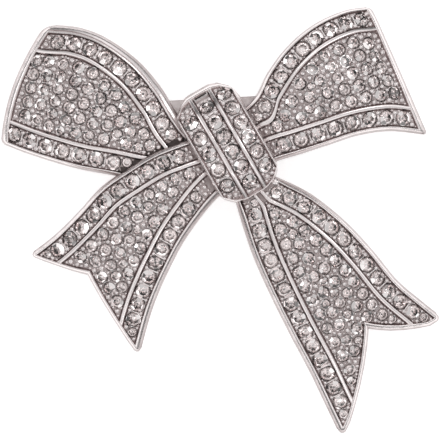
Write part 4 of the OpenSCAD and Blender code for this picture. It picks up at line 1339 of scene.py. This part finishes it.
pinBack = {
    "y": 0.445 * cast["halfHeight"],
    "bar": {"length": 21.0, "width": 2.2, "thick": 0.6, "low": 3.75, "bevel": 0.1, "soil": 0.35},
    "overlap": 0.1,  # how far hinge and catch reach into the bar
    "hinge": {"x": 9.03, "radius": 1.2, "bevel": 0.08, "soil": 0.3, "shrinkTo": 0.4},
    "cheeks": ((-1.1, -0.5, 0), (0.5, 1.1, 0), (-0.46, 0.46, 0.16)),  # from, to and how far drawn in
    "rivet": {"radius": 0.34, "half": 1.1, "bevel": 0.06, "soil": 0.5},
    "stem": {"z": 1.5, "radius": 0.42, "overhang": 1.8, "inHinge": 0.6, "soil": 0.15},
    "taper": ((0.0, 0.04), (0.3, 0.12), (1.0, 0.27), (2.2, 0.39), (3.5, 0.42)),  # from the tip, radius
    "catch": {"radius": 1.15, "thick": 0.45, "long": 1.6, "bevel": 0.06, "soil": 0.3},
}


def lathe(stations, centre, sides=20):  # stations of (x, radius) round a line along x
    points = []
    for x, radius in stations:
        for k in range(sides):
            t = k * math.tau / sides
            points.append((x, centre[0] + radius * math.cos(t), centre[1] + radius * math.sin(t)))
    faces = []
    last = (len(stations) - 1) * sides
    for i in range(0, last, sides):
        for k in range(sides):
            j = (k + 1) % sides
            faces.append((i + sides + k, i + sides + j, i + j, i + k))
    return points, faces + [tuple(range(sides)), tuple(range(last + sides - 1, last - 1, -1))]


def buildPin():
    shell = newShell()

    def addSlab(look, outline, low, high, axes):
        points, faces = slab(outline, low, high, look["bevel"], axes)
        if axes == (0, 2, 1):  # an outline drawn in this plane leaves the faces inside out
            faces = [face[::-1] for face in faces]
        addPart(shell, points, faces, 0, look["soil"])

    y, z = pinBack["y"], pinBack["stem"]["z"]
    bar = pinBack["bar"]
    half, end = bar["length"] / 2, bar["width"] / 2
    ends = arc((half, y), end, -90, 90, 17) + arc((-half, y), end, 90, 270, 17)
    addSlab(bar, ends, bar["low"], bar["low"] + bar["thick"], (0, 1, 2))
    top = bar["low"] + pinBack["overlap"]
    hinge = pinBack["hinge"]
    x, r = hinge["x"], hinge["radius"]
    cheek = np.array([(x - r, top)] + arc((x, z), r, 180, 360, 19) + [(x + r, top)])
    for low, high, inset in pinBack["cheeks"]:
        shape = mix(cheek, np.array([x, z + hinge["shrinkTo"]]), inset / r)
        addSlab(hinge, shape, y + low, y + high, (0, 2, 1))
    rivet = pinBack["rivet"]
    around = arc((x, z), rivet["radius"], 0, 337.5, 16)
    addSlab(rivet, around, y - rivet["half"], y + rivet["half"], (0, 2, 1))
    stem = pinBack["stem"]
    tip = -x - stem["overhang"]
    stations = [(tip + step, radius) for step, radius in pinBack["taper"]]
    points, faces = lathe(stations + [(x - stem["inHinge"], stem["radius"])], (y, z))
    addPart(shell, points, faces, 0, stem["soil"])
    catch = pinBack["catch"]
    outer, inner = catch["radius"], catch["radius"] - catch["thick"]
    hook = [(y - outer, top)] + arc((y, z), outer, 180, 360, 19) + arc((y, z), inner, 360, 180, 19)
    addSlab(catch, hook + [(y - inner, top)], -x - catch["long"] / 2, -x + catch["long"] / 2, (1, 2, 0))
    return meshObject("pinFinding", shell, [pinSteel])


pinFinding = buildPin()
print("pin finding built")


# Floor, light and camera

studio = {
    "scale": 8.0,  # pixels a millimetre
    "frame": 440,
    "distance": 0.6,
    "sensor": 36.0,
    "level": 0.005,  # height of the plane that is in scale
    "sky": ((0.0, 0.16), (0.25, 0.128), (0.4, 0.516), (0.55, 0.86), (0.975, 0.774), (0.99, 0.8)),
    "panes": 5,
    "paneDepth": 0.32,
    "lampDistance": 0.5,
}
lamps = {  # azimuth, elevation, width and height, power
    "leftBox": (160, 22, (0.30, 0.14), 0.16),
    "rightBox": (25, 55, (0.07, 0.16), 0.08),
    "topBox": (85, 66, (0.16, 0.05), 0.05),
    "frontBox": (-80, 55, (0.14, 0.05), 0.04),
}
paper = {"half": 0.6, "tooth": 3000.0, "levels": (0.88, 0.92), "roughness": 0.9, "shine": 0.1, "glow": 0.6}


def makeFloor():
    material, tree, shader = newMaterial("paperFloor")
    place = addNode(tree, "ShaderNodeTexCoord").outputs["Object"]
    tooth = addNode(tree, "ShaderNodeTexNoise", None, {"Vector": place, "Scale": paper["tooth"]})
    level = addNode(tree, "ShaderNodeMapRange", None, {
        "Value": tooth.outputs["Fac"], "To Min": paper["levels"][0], "To Max": paper["levels"][1]})
    setInputs(tree, shader, {
        "Base Color": level.outputs["Result"], "Roughness": paper["roughness"],
        "Specular IOR Level": paper["shine"], "Emission Color": (1, 1, 1, 1),
        "Emission Strength": paper["glow"]})
    mesh = bpy.data.meshes.new("floor")
    corners = [(x * paper["half"], y * paper["half"], 0) for x, y in ((-1, -1), (1, -1), (1, 1), (-1, 1))]
    mesh.from_pydata(corners, [], [(0, 1, 2, 3)])
    mesh.materials.append(material)
    addPiece("floor", mesh)


def makeWorld():  # a bright tent, darker near the ground, with lighter and darker panes round it
    world = bpy.data.worlds.new("tent")
    bpy.context.scene.world = world
    world.use_nodes = True
    tree = world.node_tree
    place = addNode(tree, "ShaderNodeTexCoord").outputs["Generated"]
    parts = addNode(tree, "ShaderNodeSeparateXYZ", None, {"Vector": place}).outputs
    turn = compute(tree, "ARCTAN2", parts["Y"], parts["X"])
    swing = compute(tree, "SINE", compute(tree, "MULTIPLY", turn, studio["panes"]))
    setInputs(tree, tree.nodes["Background"].inputs, {
        "Color": addRamp(tree, parts["Z"], studio["sky"]),
        "Strength": compute(tree, "MULTIPLY_ADD", swing, studio["paneDepth"], 1)})


def addLamp(name, azimuth, elevation, size, power):
    lamp = bpy.data.lights.new(name, "AREA")
    lamp.shape = "RECTANGLE"
    lamp.size, lamp.size_y = size
    lamp.energy = power
    piece = addPiece(name, lamp)
    a, e = math.radians(azimuth), math.radians(elevation)
    spot = Vector((math.cos(e) * math.cos(a), math.cos(e) * math.sin(a), math.sin(e)))
    piece.location = spot * studio["lampDistance"]
    piece.rotation_euler = spot.to_track_quat("Z", "Y").to_euler()


def makeCamera():
    camera = bpy.data.cameras.new("camera")
    camera.sensor_width = studio["sensor"]
    width = studio["frame"] / studio["scale"] * mm
    camera.lens = studio["sensor"] * studio["distance"] / width
    camera.clip_start = 0.01
    piece = addPiece("camera", camera)
    piece.location = (0, 0, studio["distance"] + studio["level"])
    bpy.context.scene.camera = piece


makeFloor()
makeWorld()
for name, values in lamps.items():
    addLamp(name, *values)
makeCamera()
bpy.context.scene.view_settings.view_transform = "Standard"
print("studio ready")

for piece in [bowMetal, beadWork, pinFinding] + [piece for piece, node in stonePieces]:
    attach(piece, "root")
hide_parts("bow_casting")
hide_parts("pin_back")
for piece, node in stonePieces:
    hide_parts(node)
